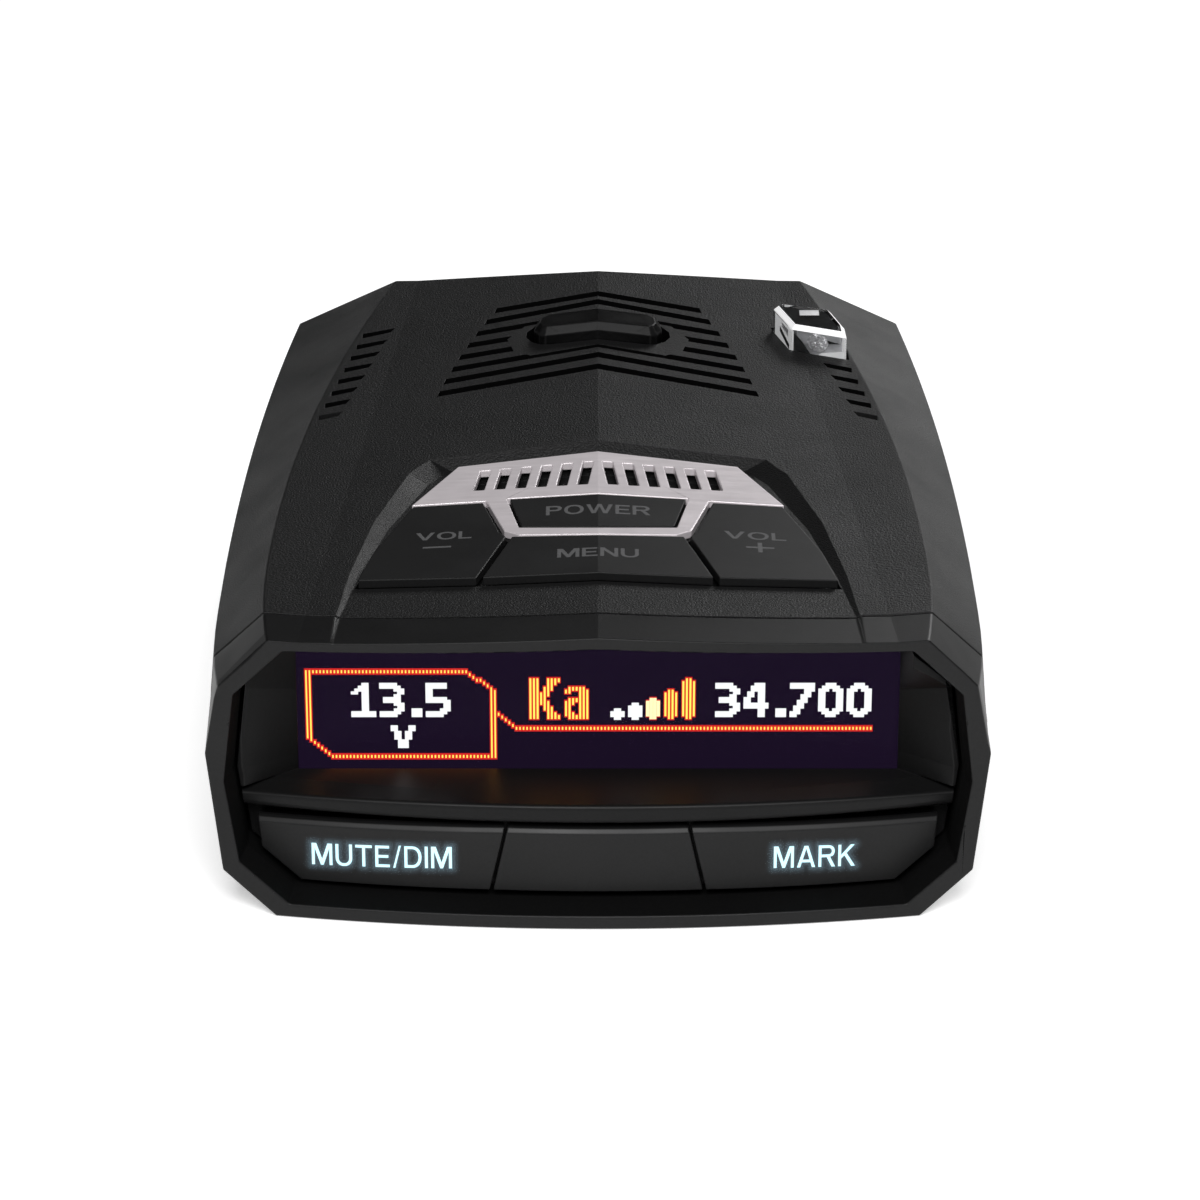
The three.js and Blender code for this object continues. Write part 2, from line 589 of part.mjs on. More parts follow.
class Helix extends THREE.Curve {
  getPoint(t, target = new THREE.Vector3()) {
    const angle = 2 * Math.PI * SPRING.turns * t;
    const low = CUP_Z + CUP + SPRING.wire + 0.1;
    const high = FOOT_Z - SPRING.wire - 0.1;
    const [x, y] = [SPRING.radius * Math.cos(angle), SPRING.y + SPRING.radius * Math.sin(angle)];
    return target.set(x, y, low + (high - low) * t);
  }
}

function releaseSpring() {
  const section = new THREE.Shape();
  section.absarc(0, 0, SPRING.wire, 0, 2 * Math.PI);
  const options = { extrudePath: new Helix(), steps: 40, curveSegments: 3, bevelEnabled: false };
  return solid(new THREE.ExtrudeGeometry(section, options));
}

// ---- Display and boards -----------------------------------------------------------------------------
const oledFront = DISPLAY_Y + WINDOW_THICKNESS + GAP;
const oledBack = oledFront + 2;
const THIN_BOARD = 1.2; // display and key boards

function displayWindow() {
  const half = DISPLAY_HALF + WINDOW_SIDE;
  const [foot, head] = [SHELF_Z - WINDOW_LAP, DISPLAY_TOP + WINDOW_LAP];
  return block(-half, half, DISPLAY_Y, DISPLAY_Y + WINDOW_THICKNESS, foot, head);
}

function mainBoard() {
  const plate = block(-31, 31, -30, 48, BOARD_TOP - BOARD, BOARD_TOP);
  return cut(plate, ...SCREWS.map(([x, y]) => rodZ(x, y, 1.6, 0, 10, 12)));
}

function keyBoard() {
  return block(-21, 21, -35.3, -12.5, KEY_BOARD_TOP - THIN_BOARD, KEY_BOARD_TOP - 0.01);
}

function rectangle(x0, x1, z0, z1) {
  return [[x0, z0], [x1, z0], [x1, z1], [x0, z1]];
}

function hornAntenna() {
  const outer = loftY([
    [14, rectangle(-5, 5, 7.4, 13.4)],
    [24, rectangle(-5, 5, 7.4, 13.4)],
    [49.6, rectangle(-12.5, 12.5, 7.1, 14.8)],
  ]);
  const inner = loftY([
    [15, rectangle(-4, 4, 8.4, 12.4)],
    [24, rectangle(-4, 4, 8.4, 12.4)],
    [50, rectangle(-11.5, 11.5, 8.1, 13.8)],
  ]);
  return outer.subtract(inner);
}

function hollowBox(x0, x1, y0, y1, z0, z1, wall) {
  const hollow = block(x0 + wall, x1 - wall, y0 + wall, y1 - wall, z0 - 1, z1 - wall);
  return block(x0, x1, y0, y1, z0, z1).subtract(hollow);
}

// ---- Speaker ----------------------------------------------------------------------------------------
const SPEAKER = { x: 0, y: 5, radius: 11.5, top: 26.4, seat: 20.6 };

function turned(profile, x, y) {
  const points = profile.map(([radius, z]) => new THREE.Vector2(radius, z));
  return solid(new THREE.LatheGeometry(points, 28).rotateX(Math.PI / 2).translate(x, y, 0));
}

function speakerFrame() {
  const { x, y, radius, top, seat } = SPEAKER;
  return turned([
    [5.6, seat], [radius - 1, seat], [radius, seat + 1.6], [radius, top], [radius - 1, top],
    [radius - 1, seat + 2], [radius - 1.6, seat + 1], [5.6, seat + 1], [5.6, seat],
  ], x, y);
}

function speakerCone() {
  const { x, y, radius, top, seat } = SPEAKER;
  return turned([
    [0, seat + 2.4], [3.4, seat + 2.4], [radius - 1.5, top - 1], [radius - 1.5, top - 0.4],
    [3.2, seat + 3.1], [0, seat + 3.1],
  ], x, y);
}

function speakerMagnet() {
  const { x, y, seat } = SPEAKER;
  return rodZ(x, y, 5.2, seat - 2.6, seat + 2, 24);
}

// ---- Sockets, switches and screws -------------------------------------------------------------------
function powerSocket() {
  const { y, half, z0, z1 } = POWER_SOCKET;
  const body = block(24, 36.4, y - half, y + half, z0, z1);
  return body.subtract(block(26.4, 40, y - half + 1.3, y + half - 1.3, z0 + 0.7, z1 - 0.7));
}

function usbSocket() {
  const { y, half, z0, z1 } = USB_SOCKET;
  const body = block(-36, -29.5, y - half, y + half, z0, z1);
  return body.subtract(block(-40, -30.5, y - half + 0.5, y + half - 0.5, z0 + 0.5, z1 - 0.5));
}

function audioJack() {
  const { y, z, radius } = AUDIO_JACK;
  const barrel = rodX(y, z, radius, -36.4, -33, 16);
  const body = block(-33.2, -22, y - radius, y + radius, z - radius, z + radius);
  return cut(barrel.add(body), rodX(y, z, 1.8, -40, -24, 16));
}

function topSwitch([x, y]) {
  const half = SWITCH / 2;
  const body = block(x - half, x + half, y - half, y + half, KEY_BOARD_TOP, KEY_BOARD_TOP + SWITCH_HEIGHT);
  return body.subtract(rodZ(x, y, PLUNGER_R + GAP, KEY_BOARD_TOP + 1.2, 40, 12));
}

function topPlunger([x, y]) {
  return rodZ(x, y, PLUNGER_R, KEY_BOARD_TOP + 2, STEM_END - GAP, 12);
}

const FRONT_BOARD_Y = oledBack + GAP; // front face of the display board

function frontSwitch(x) {
  const half = SWITCH / 2;
  const z = FRONT_STEM_Z;
  const front = FRONT_BOARD_Y - SWITCH_HEIGHT;
  const body = block(x - half, x + half, front, FRONT_BOARD_Y, z - half + 0.4, z + half);
  return body.subtract(rodY(x, z, PLUNGER_R + GAP, -60, FRONT_BOARD_Y - 1.2, 12));
}

function frontPlunger(x) {
  return rodY(x, FRONT_STEM_Z, PLUNGER_R, FRONT_STEM_END + GAP, FRONT_BOARD_Y - 2, 12);
}

function caseScrew([x, y]) {
  const head = rodZ(x, y, 2.6, 0.8, 2.3, 16);
  const shank = rodZ(x, y, 1.1, 2, 12.5, 10);
  const [arm, half] = [1.4, 0.3];
  const across = block(x - arm, x + arm, y - half, y + half, 0, 1.6);
  const along = block(x - half, x + half, y - arm, y + arm, 0, 1.6);
  return cut(head.add(shank), across, along);
}

function frontWindow() {
  return block(WINDOW.x0, WINDOW.x1, REAR_WALL_Y - 0.2, REAR - 1, WINDOW.z0, WINDOW.z1);
}

function frontSensor() {
  const housing = block(14, 22.6, 39, 47, BOARD_TOP + GAP, 14);
  return housing.add(rodY(18.3, 10.8, 3, 46.5, 49.4, 16));
}

const DISPLAY_ROUTE = [[-35, 14], [-33, 14], [-33, 7.2], [-24, 7.2]]; // [y, z] corners
const KEY_ROUTE = [[-27, 19.7], [-11.8, 19.7], [-11.8, 7.2], [-4, 7.2]];

// A flat ribbon that follows a bent route in the YZ plane.
function ribbon(x0, x1, route, thickness = 0.3) {
  const pieces = [];
  for (let i = 0; i + 1 < route.length; i += 1) {
    const [[y0, z0], [y1, z1]] = [route[i], route[i + 1]];
    const [ya, yb] = [Math.min(y0, y1), Math.max(y0, y1)];
    const [za, zb] = [Math.min(z0, z1), Math.max(z0, z1)];
    pieces.push(block(x0, x1, ya, yb + thickness, za, zb + thickness));
  }
  return join(...pieces);
}

// ---- Assembly ---------------------------------------------------------------------------------------
const group = new THREE.Group();

function place(name, shape, color, roughness, metalness = 0, opacity = 1) {
  const geometry = geometryOf(shape);
  geometry.computeVertexNormals();
  const material = new THREE.MeshStandardMaterial({
    color, roughness, metalness, opacity, transparent: opacity < 1, flatShading: true,
  });
  const mesh = new THREE.Mesh(geometry, material);
  mesh.name = name;
  group.add(mesh);
}

const BLACK = 0x1c1c1d;
const KEY_BLACK = 0x222223;
const FRONT_KEY_BLACK = 0x202021;
const SATIN_SILVER = 0xb5adb0;
const RIBBON_AMBER = 0x7a4a12;
const BOARD_GREEN = 0x0f3a22;
const TIN = 0xb9bcc0;

place("top_cover", topCover(), BLACK, 0.65);
place("bottom_cover", bottomCover(), BLACK, 0.65);
place("front_bezel", frontBezel(), BLACK, 0.5);
place("display_shroud", displayShroud(), 0x161617, 0.5);
place("centre_panel", centrePanel(), FRONT_KEY_BLACK, 0.45);
place("mute_dim_key", sideKey(-1), FRONT_KEY_BLACK, 0.45);
place("mark_key", sideKey(1), FRONT_KEY_BLACK, 0.45);

place("trim_plate", trimPlate(), SATIN_SILVER, 0.3, 0.9);
place("power_key", topKey(onRecess(prismZ(POWER, CAP_BOTTOM, KEY_HEIGHT)), TOP_STEMS.power), KEY_BLACK, 0.5);
place("menu_key", topKey(onRecess(prismZ(MENU, CAP_BOTTOM, KEY_HEIGHT)), TOP_STEMS.menu), KEY_BLACK, 0.5);
place("volume_down_key", volumeKey(-1), KEY_BLACK, 0.5);
place("volume_up_key", volumeKey(1), KEY_BLACK, 0.5);

place("mount_release_button", releaseButton(), 0x2a2a2b, 0.45);
place("release_spring", releaseSpring(), 0xc8c8c8, 0.3, 1);
place("mount_slot_liner", slotLiner(), 0x242425, 0.6);

place("display_window", displayWindow(), 0x100c14, 0.1, 0, 0.4);
place("oled_module", block(-31.5, 31.5, oledFront, oledBack, 11, 25), 0x14101a, 0.2);
place("display_board", block(-32, 32, FRONT_BOARD_Y, FRONT_BOARD_Y + THIN_BOARD, 3, 24.8), BOARD_GREEN, 0.5);
place("main_board", mainBoard(), BOARD_GREEN, 0.5);
place("key_board", keyBoard(), BOARD_GREEN, 0.5);
place("display_ribbon", ribbon(-8, 8, DISPLAY_ROUTE), RIBBON_AMBER, 0.4);
place("key_ribbon", ribbon(-18, -10, KEY_ROUTE), RIBBON_AMBER, 0.4);

place("horn_antenna", hornAntenna(), 0x9a9c9e, 0.4, 1);
place("rf_shield_can", hollowBox(4, 25, -22, 0, BOARD_TOP + GAP, 11.6, 0.4), TIN, 0.35, 1);
place("gps_patch", block(6.5, 22.5, -19, -3, 11.9, 15.9), 0xc7b48a, 0.5);
place("front_laser_window", frontWindow(), 0x120608, 0.1, 0, 0.6);
place("front_laser_sensor", frontSensor(), 0x1a1a1c, 0.4);
place("rear_laser_lens", rearLens(), 0xdfe6ea, 0.05, 0, 0.4);
place("rear_laser_sensor", rearSensor(), 0x1b2a22, 0.4);

place("speaker_frame", speakerFrame(), TIN, 0.4, 1);
place("speaker_cone", speakerCone(), 0x2b2b2d, 0.8);
place("speaker_magnet", speakerMagnet(), 0x55575a, 0.4, 1);

place("power_socket", powerSocket(), 0x18181a, 0.5);
place("usb_socket", usbSocket(), TIN, 0.3, 1);
place("audio_jack", audioJack(), 0x18181a, 0.5);

for (const [name, spot] of Object.entries(TOP_STEMS)) {
  place(`${name}_switch`, topSwitch(spot), 0x2a2a2c, 0.5);
  place(`${name}_plunger`, topPlunger(spot), 0xe8e8e8, 0.5);
}
for (const [name, x] of [["mute_dim", -SIDE_STEM], ["mark", SIDE_STEM]]) {
  place(`${name}_switch`, frontSwitch(x), 0x2a2a2c, 0.5);
  place(`${name}_plunger`, frontPlunger(x), 0xe8e8e8, 0.5);
}
SCREWS.forEach((spot, i) => place(`case_screw_${i + 1}`, caseScrew(spot), 0x3a3a3c, 0.35, 1));

export default group;
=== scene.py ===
"""Looks of the windscreen radar detector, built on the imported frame."""

import math

import bmesh
import bpy
from mathutils import Matrix, Vector
from mathutils.kdtree import KDTree


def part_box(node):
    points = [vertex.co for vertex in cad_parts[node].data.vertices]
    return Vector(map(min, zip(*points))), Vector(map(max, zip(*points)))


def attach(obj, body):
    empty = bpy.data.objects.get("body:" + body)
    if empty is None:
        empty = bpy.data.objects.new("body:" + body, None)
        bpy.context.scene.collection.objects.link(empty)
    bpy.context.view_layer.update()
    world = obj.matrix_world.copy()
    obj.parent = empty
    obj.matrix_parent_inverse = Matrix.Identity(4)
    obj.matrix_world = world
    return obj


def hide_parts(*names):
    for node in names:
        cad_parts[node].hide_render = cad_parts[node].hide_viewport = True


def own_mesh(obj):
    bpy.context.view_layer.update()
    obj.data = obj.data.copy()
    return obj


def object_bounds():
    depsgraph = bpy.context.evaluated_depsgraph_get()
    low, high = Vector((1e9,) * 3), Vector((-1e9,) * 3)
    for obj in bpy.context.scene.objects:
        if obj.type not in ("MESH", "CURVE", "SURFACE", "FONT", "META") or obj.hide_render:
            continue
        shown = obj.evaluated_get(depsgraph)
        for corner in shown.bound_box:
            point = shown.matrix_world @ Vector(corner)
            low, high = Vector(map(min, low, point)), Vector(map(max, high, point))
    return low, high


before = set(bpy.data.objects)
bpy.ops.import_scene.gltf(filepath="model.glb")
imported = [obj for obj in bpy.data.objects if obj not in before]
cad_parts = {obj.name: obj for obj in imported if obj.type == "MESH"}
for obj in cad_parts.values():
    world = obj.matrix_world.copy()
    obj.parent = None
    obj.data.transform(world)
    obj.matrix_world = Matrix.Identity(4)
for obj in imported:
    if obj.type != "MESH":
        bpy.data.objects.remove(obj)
cad_low, cad_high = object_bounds()
MM = 0.001

# ---- Sizes in millimetres, in the frame's axes ---------------------------------------
FRONT, REAR = cad_low.y / MM, cad_high.y / MM
FRONT_BOW, REAR_BOW, KEY_BOW = 0.0028, 0.0007, 0.0036
BEZEL_DEPTH = 6.4
PARTING_Z = 17.2
WALL = 2.0
GAP = 0.3
ROOF_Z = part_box("front_bezel")[1].z / MM
ROOF_FALL, ROOF_SLOPE, RECESS_FALL = 0.008, 0.052, 0.028
KEY_HEIGHT, KEY_POCKET, DECK_DEPTH, CAP_BOTTOM = 0.85, 1.0, 2.6, -0.1
CAP = 1.4
LIP_Y = FRONT + 3.0
SHELF_Z = 12.0
DISPLAY_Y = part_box("display_window")[0].y / MM
DISPLAY_HALF, DISPLAY_TOP = 29.8, 25.6
REAR_WALL_Y = REAR - 2.2
SLOT_HALF, SLOT_FLOOR = 11.0, 23.2


# ---- Solids in millimetres -----------------------------------------------------------
def linked(name, data):
    """A new object in the scene."""
    obj = bpy.data.objects.new(name, data)
    bpy.context.scene.collection.objects.link(obj)
    return obj


def reshape(mesh, change):
    """Runs a bmesh change on a mesh."""
    shape = bmesh.new()
    shape.from_mesh(mesh)
    change(shape)
    shape.to_mesh(mesh)
    shape.free()


def solid(rings):
    """A closed skin through equal-length rings of points."""
    count = len(rings[0])
    verts = [tuple(p) for ring in rings for p in ring]
    faces = []
    for r in range(len(rings) - 1):
        for i in range(count):
            a, b = r * count + i, r * count + (i + 1) % count
            faces.append((a, b, b + count, a + count))
    faces.append(tuple(range(count)))
    last = (len(rings) - 1) * count
    faces.append(tuple(range(last, last + count)))
    mesh = bpy.data.meshes.new("solid")
    mesh.from_pydata(verts, [], faces)
    reshape(mesh, lambda shape: bmesh.ops.recalc_face_normals(shape, faces=shape.faces))
    return linked("solid", mesh)


def prism_z(outline, z0, z1):
    return solid([[(x, y, z) for x, y in outline] for z in (z0, z1)])


def prism_y(outline, y0, y1):
    return solid([[(x, y, z) for x, z in outline] for y in (y0, y1)])


def loft_y(stations):
    return solid([[(x, y, z) for x, z in outline] for y, outline in stations])


def loft_z(levels):
    return solid([[(x, y, z) for x, y in outline] for z, outline in levels])


def block(x0, x1, y0, y1, z0, z1):
    return prism_z([(x0, y0), (x1, y0), (x1, y1), (x0, y1)], z0, z1)


def slab(z0, z1, last_y=60):
    """Everything between two heights, back to a limit in y."""
    return block(-45, 45, -60, last_y, z0, z1)


def circle(x, y, radius, sides=32):
    turn = 2 * math.pi / sides
    return [(x + radius * math.cos(turn * i), y + radius * math.sin(turn * i)) for i in range(sides)]


def rod_z(x, y, radius, z0, z1):
    return prism_z(circle(x, y, radius), z0, z1)


def rod_x(y, z, radius, x0, x1):
    return solid([[(x, a, b) for a, b in circle(y, z, radius)] for x in (x0, x1)])


def bake(obj):
    """Applies the modifiers."""
    graph = bpy.context.evaluated_depsgraph_get()
    mesh = bpy.data.meshes.new_from_object(obj.evaluated_get(graph))
    old = obj.data
    obj.modifiers.clear()
    obj.data = mesh
    bpy.data.meshes.remove(old)


def combine(operation, first, others):
    """A boolean of the first solid with each of the others, which are used up."""
    for other in others:
        step = first.modifiers.new("step", "BOOLEAN")
        step.operation = operation
        step.solver = "MANIFOLD"
        step.object = other
    bake(first)
    for other in others:
        bpy.data.objects.remove(other)
    return first


def join(first, *others):
    return combine("UNION", first, others)


def cut(first, *others):
    return combine("DIFFERENCE", first, others)


def common(first, *others):
    return combine("INTERSECT", first, others)


def copy(obj):
    return linked(obj.name, obj.data.copy())


def mirror_x(obj):
    obj.data.transform(Matrix.Scale(-1, 4, (1, 0, 0)))
    obj.data.flip_normals()
    return obj


def mirrored(half):
    """The full outline of a half outline that starts and ends on the middle line."""
    return half + [(-x, other) for x, other in reversed(half[1:-1])]


def area(outline):
    pairs = zip(outline, outline[1:] + outline[:1])
    return sum(x0 * y1 - x1 * y0 for (x0, y0), (x1, y1) in pairs) / 2


def inset(outline, distance):
    """A convex outline moved inwards."""
    turn = math.copysign(1, area(outline))
    edges = []
    for (x0, y0), (x1, y1) in zip(outline, outline[1:] + outline[:1]):
        length = math.hypot(x1 - x0, y1 - y0)
        dx, dy = (x1 - x0) / length, (y1 - y0) / length
        edges.append((x0 - dy * distance * turn, y0 + dx * distance * turn, dx, dy))
    points = []
    for before, edge in zip(edges[-1:] + edges[:-1], edges):
        cross = before[2] * edge[3] - before[3] * edge[2]
        if abs(cross) < 1e-6:
            points.append((edge[0], edge[1]))
            continue
        along = ((edge[0] - before[0]) * edge[3] - (edge[1] - before[1]) * edge[2]) / cross
        points.append((before[0] + before[2] * along, before[1] + before[3] * along))
    return points


# ---- Roof coordinates: z measured from the roof, laid on both of its slopes ----------
def roof_height(x, y, height=0.0, extra_fall=0.0):
    return ROOF_Z - (ROOF_FALL + extra_fall) * (y - FRONT) - ROOF_SLOPE * abs(x) + height


def on_roof(half, extra_fall=0.0):
    """The right half of a piece laid on the roof, joined with its mirror image."""
    for vertex in half.data.vertices:
        x, y, height = vertex.co
        vertex.co.z = roof_height(x, y, height, extra_fall)
    return join(half, mirror_x(copy(half)))


def on_recess(half):
    return on_roof(half, RECESS_FALL)


# ---- Case envelope -------------------------------------------------------------------
BROW_Y, BROW_HALF, BROW_Z, WAIST = -21.3, 38.2, 25.2, 0.4
SHOULDER_Y, SHOULDER_HALF = -32.3, 33.1
CREASE_HALF, CREASE_LEAN = 25.06, 0.0785
FLANK_FOOT_SHARE, FLANK_FOOT_Z, BASE_SHARE = 0.9636, 4.6, 0.829


def brow_half(y):
    """Half width at the brow: widest at BROW_Y, 3.2 less at the rear and 0.8 less at the front."""
    back = y - BROW_Y
    return BROW_HALF - (3.2 * (back / 72.3) ** 2.18 if back > 0 else 0.82 * (-back / 25) ** 4.3)


def waist_half(y):
    """Half width at the parting line, the widest line of the case."""
    back = y - BROW_Y
    return WAIST + (brow_half(y) if back > 0 else BROW_HALF - 0.15 * (back / 28.7) ** 2)


def shoulder_half(y):
    """Half width where the roof's outer strip meets the shoulder."""
    back = y - SHOULDER_Y
    return SHOULDER_HALF - (9.0 * (back / 82) ** 2 if back > 0 else 0.45 * (back / 11) ** 2)


def case_section(y):
    """The outline across the case: ridge, crease, shoulder, brow, waist, flank foot and base."""
    crease = CREASE_HALF - CREASE_LEAN * y
    crease_z = roof_height(crease, y)
    brow_z = BROW_Z + (0.019 if y < -20 else -0.011) * (y + 20)
    waist = waist_half(y)
    half = [(0, roof_height(0, y)), (crease, crease_z), (shoulder_half(y), crease_z)]
    half += [(brow_half(y), brow_z), (waist, PARTING_Z), (waist * FLANK_FOOT_SHARE, FLANK_FOOT_Z)]
    half += [(waist * BASE_SHARE, 0), (0, 0)]
    return mirrored(half)


def envelope(depth=0, step=4):
    """The case's outer shape, or what lies deeper than a distance below its skin."""
    stations = [-56 + step * i for i in range(int(112 / step) + 1)]
    sections = [(y, case_section(y)) for y in stations]
    if depth:
        sections = [(y, inset(section, depth)) for y, section in sections]
    return loft_y(sections)


def cavity():
    return common(envelope(WALL, 8), slab(-5, 40, REAR_WALL_Y))


def between(front, front_bow, rear, rear_bow, z0=-5, z1=40):
    """Everything between two bowed planes, given by their ridge and bow."""
    xs = [-42 + 2 * i for i in range(43)]
    near = [(x, front + front_bow * x * x) for x in xs]
    far = [(x, rear + rear_bow * x * x) for x in reversed(xs)]
    return prism_z(near + far, z0, z1)


def covers():
    """The outer shape of both covers, behind the bezel."""
    return common(envelope(), between(FRONT + BEZEL_DEPTH + GAP, FRONT_BOW, REAR, -REAR_BOW))


# ---- Key recess, keys and trim -------------------------------------------------------
RECESS_EDGE = [(0, -1.1), (17.7, -4.4), (19.8, -8.2), (22.9, -21), (24.7, -34)]
RECESS_EDGE += [(25.6, -44.5), (25.75, -58), (0, -58)]
RECESS_FOOT = [(0, -1.7), (15.3, -4.5), (17.4, -8.6), (20.5, -21.2), (22.3, -34.1)]
RECESS_FOOT += [(23.2, -44.6), (23.35, -58), (0, -58)]
RECESS_DROP = 1.5
TRIM = [(0, -2.85), (14.7, -5.6), (19.2, -16.5), (11.5, -16.2), (9.5, -25.0), (8, -26.3), (0, -27.1)]
TRIM_WELL = [(0, -5), (13.9, -6.7), (13.9, -13.4), (0, -13.6)]
TRIM_HOLE = [(0, -15.45), (9.4, -15.75), (8, -24.25), (0, -25.3)]
POWER_POCKET = [(0, -15.6), (9.25, -15.9), (7.95, -24.15), (0, -25.15)]
LOWER_POCKET = [(0, -27.3), (8.8, -26.5), (9.7, -25.2), (11.6, -16.5), (19.25, -16.7), (22.8, -29.1)]
LOWER_POCKET += [(24.1, -37), (11.7, -37.8), (0, -37.9)]
DECK = [(0, 0.6), (19, -2.6), (21.6, -7.5), (24.7, -21), (26.4, -34), (26.8, -39.2), (0, -39.2)]
STEMS = [(0, -20), (0, -32), (-17.5, -27), (17.5, -27)]


def key_recess():
    """The arch-shaped recess: its walls slope and it grows deeper towards the rear."""
    above = [(2 * x - fx, 2 * y - fy) for (x, y), (fx, fy) in zip(RECESS_EDGE, RECESS_FOOT)]
    walls = on_roof(loft_z([(-RECESS_DROP, RECESS_FOOT), (RECESS_DROP, above)]))
    floor = on_recess(prism_z([(0, 5), (40, 5), (40, -60), (0, -60)], 0, 6))
    return common(walls, floor)


# ---- Louvres -------------------------------------------------------------------------
LOUVRE_RIDGES = [44.8, 42.1, 38.2, 34.6, 31.2, 28.0, 24.75, 21.1]
LOUVRE_HALF, LOUVRE_LEAN, LOUVRE_SWELL = 0.82, 0.12, 0.037
SIDE_LOUVRE_HALF, SIDE_LOUVRE_LEAN = 0.7, 0.22
FIRST_RIGHT_ROW = 3
ISLAND = [(0, 28.1), (7.5, 25.5), (9.4, 27.0), (10.2, 31.0), (8.3, 35.0), (0, 38.2)]
BUTTON_WELL = [(0, 29.7), (5.4, 28.75), (6.5, 28.9), (7.5, 29.9), (8.1, 31.4), (8.0, 33.0)]
BUTTON_WELL += [(7.1, 34.8), (5.8, 35.6), (0, 36.4)]
BUTTON = [(0, 29.95), (5.9, 28.95), (6.6, 29.3), (7.2, 30.8), (6.9, 33.2), (5.9, 34.3), (0, 35.6)]
BUTTON_FACE = [(0, 30.6), (5.7, 29.7), (6.1, 30.0), (6.5, 31.0), (6.3, 32.6), (5.6, 33.5), (0, 34.8)]
BUTTON_TOP, BUTTON_EDGE = 1.85, 1.0
LENS = [(21.7, 29.5), (27.7, 26.7), (27.6, 29.6), (26.3, 34.8), (20.9, 36.8), (19.9, 35.9)]


def centre_louvre(ridge, row):
    """A bent slot across the ridge; the rows grow wider towards the front."""
    x, y = 11.7 + 0.82 * row + LOUVRE_SWELL * row * (7 - row), 40.7 - 3.69 * row
    rear = [(x - LOUVRE_LEAN, y + LOUVRE_HALF), (0, ridge + LOUVRE_HALF)]
    return on_roof(prism_z([(0, ridge - LOUVRE_HALF), (x + LOUVRE_LEAN, y - LOUVRE_HALF), *rear], -4, 2))


def side_louvre(row, side):
    """A short slot beside the shoulder; side is 1 on the right and -1 on the left."""
    half, lean = SIDE_LOUVRE_HALF, SIDE_LOUVRE_LEAN
    outer_x, outer_y = 26.6 + 0.515 * row, 33.8 - 3.6 * row
    inner_x, inner_y = 23.3 + 0.655 * row, 35.7 - 3.69 * row
    outline = [(outer_x, outer_y - half), (inner_x + lean, inner_y - half)]
    outline += [(inner_x - lean, inner_y + half), (outer_x, outer_y + half)]
    return prism_z([(side * x, y) for x, y in outline], 24, 34)


def louvres():
    """The cutters of all slots; the lens takes the place of the first rows on the right."""
    rows = range(len(LOUVRE_RIDGES))
    centre = join(*[centre_louvre(LOUVRE_RIDGES[row], row) for row in rows])
    cut(centre, on_roof(prism_z(ISLAND, -5, 3)))
    sides = [side_louvre(row, -1) for row in rows]
    return [centre, *sides, *[side_louvre(row, 1) for row in rows[FIRST_RIGHT_ROW:]]]


# ---- Materials -----------------------------------------------------------------------
EDGE_RADIUS = 0.12
NO_GLOSS = {"Specular IOR Level": 0.0}


def shader_of(made):
    return made.node_tree.nodes["Principled BSDF"]


def material(name, colour, roughness, **settings):
    made = bpy.data.materials.new(name)
    made.use_nodes = True
    shader = shader_of(made)
    shader.inputs["Base Color"].default_value = (*colour, 1)
    shader.inputs["Roughness"].default_value = roughness
    for socket, value in settings.items():
        shader.inputs[socket].default_value = value
    return made


def noise(made, scale, detail=4.0, stretch=(1, 1, 1)):
    """A noise texture in object space; scale is in features per millimetre."""
    tree = made.node_tree
    where = tree.nodes.new("ShaderNodeTexCoord")
    mapping = tree.nodes.new("ShaderNodeMapping")
    mapping.inputs["Scale"].default_value = stretch
    texture = tree.nodes.new("ShaderNodeTexNoise")
    texture.inputs["Scale"].default_value = scale / MM
    texture.inputs["Detail"].default_value = detail
    tree.links.new(where.outputs["Object"], mapping.inputs["Vector"])
    tree.links.new(mapping.outputs["Vector"], texture.inputs["Vector"])
    return texture


def add_bump(made, texture, depth, strength=1.0):
    """Bump from a texture's height over softened edges, with depth in millimetres."""
    tree = made.node_tree
    soft = tree.nodes.new("ShaderNodeBevel")
    soft.samples = 4
    soft.inputs["Radius"].default_value = EDGE_RADIUS * MM
    bump = tree.nodes.new("ShaderNodeBump")
    bump.inputs["Distance"].default_value = depth * MM
    bump.inputs["Strength"].default_value = strength
    tree.links.new(texture.outputs["Fac"], bump.inputs["Height"])
    tree.links.new(soft.outputs["Normal"], bump.inputs["Normal"])
    tree.links.new(bump.outputs["Normal"], shader_of(made).inputs["Normal"])


def vary(made, texture, socket, low, high):
    """Drives a socket between two values, or two colours, from a texture."""
    tree = made.node_tree
    ramp = tree.nodes.new("ShaderNodeValToRGB")
    ramp.color_ramp.elements[0].position = 0.3
    ramp.color_ramp.elements[1].position = 0.7
    for element, value in zip(ramp.color_ramp.elements, (low, high)):
        colour = value if isinstance(value, tuple) else (value, value, value)
        element.color = (*colour, 1)
    tree.links.new(texture.outputs["Fac"], ramp.inputs["Fac"])
    tree.links.new(ramp.outputs["Color"], shader_of(made).inputs[socket])


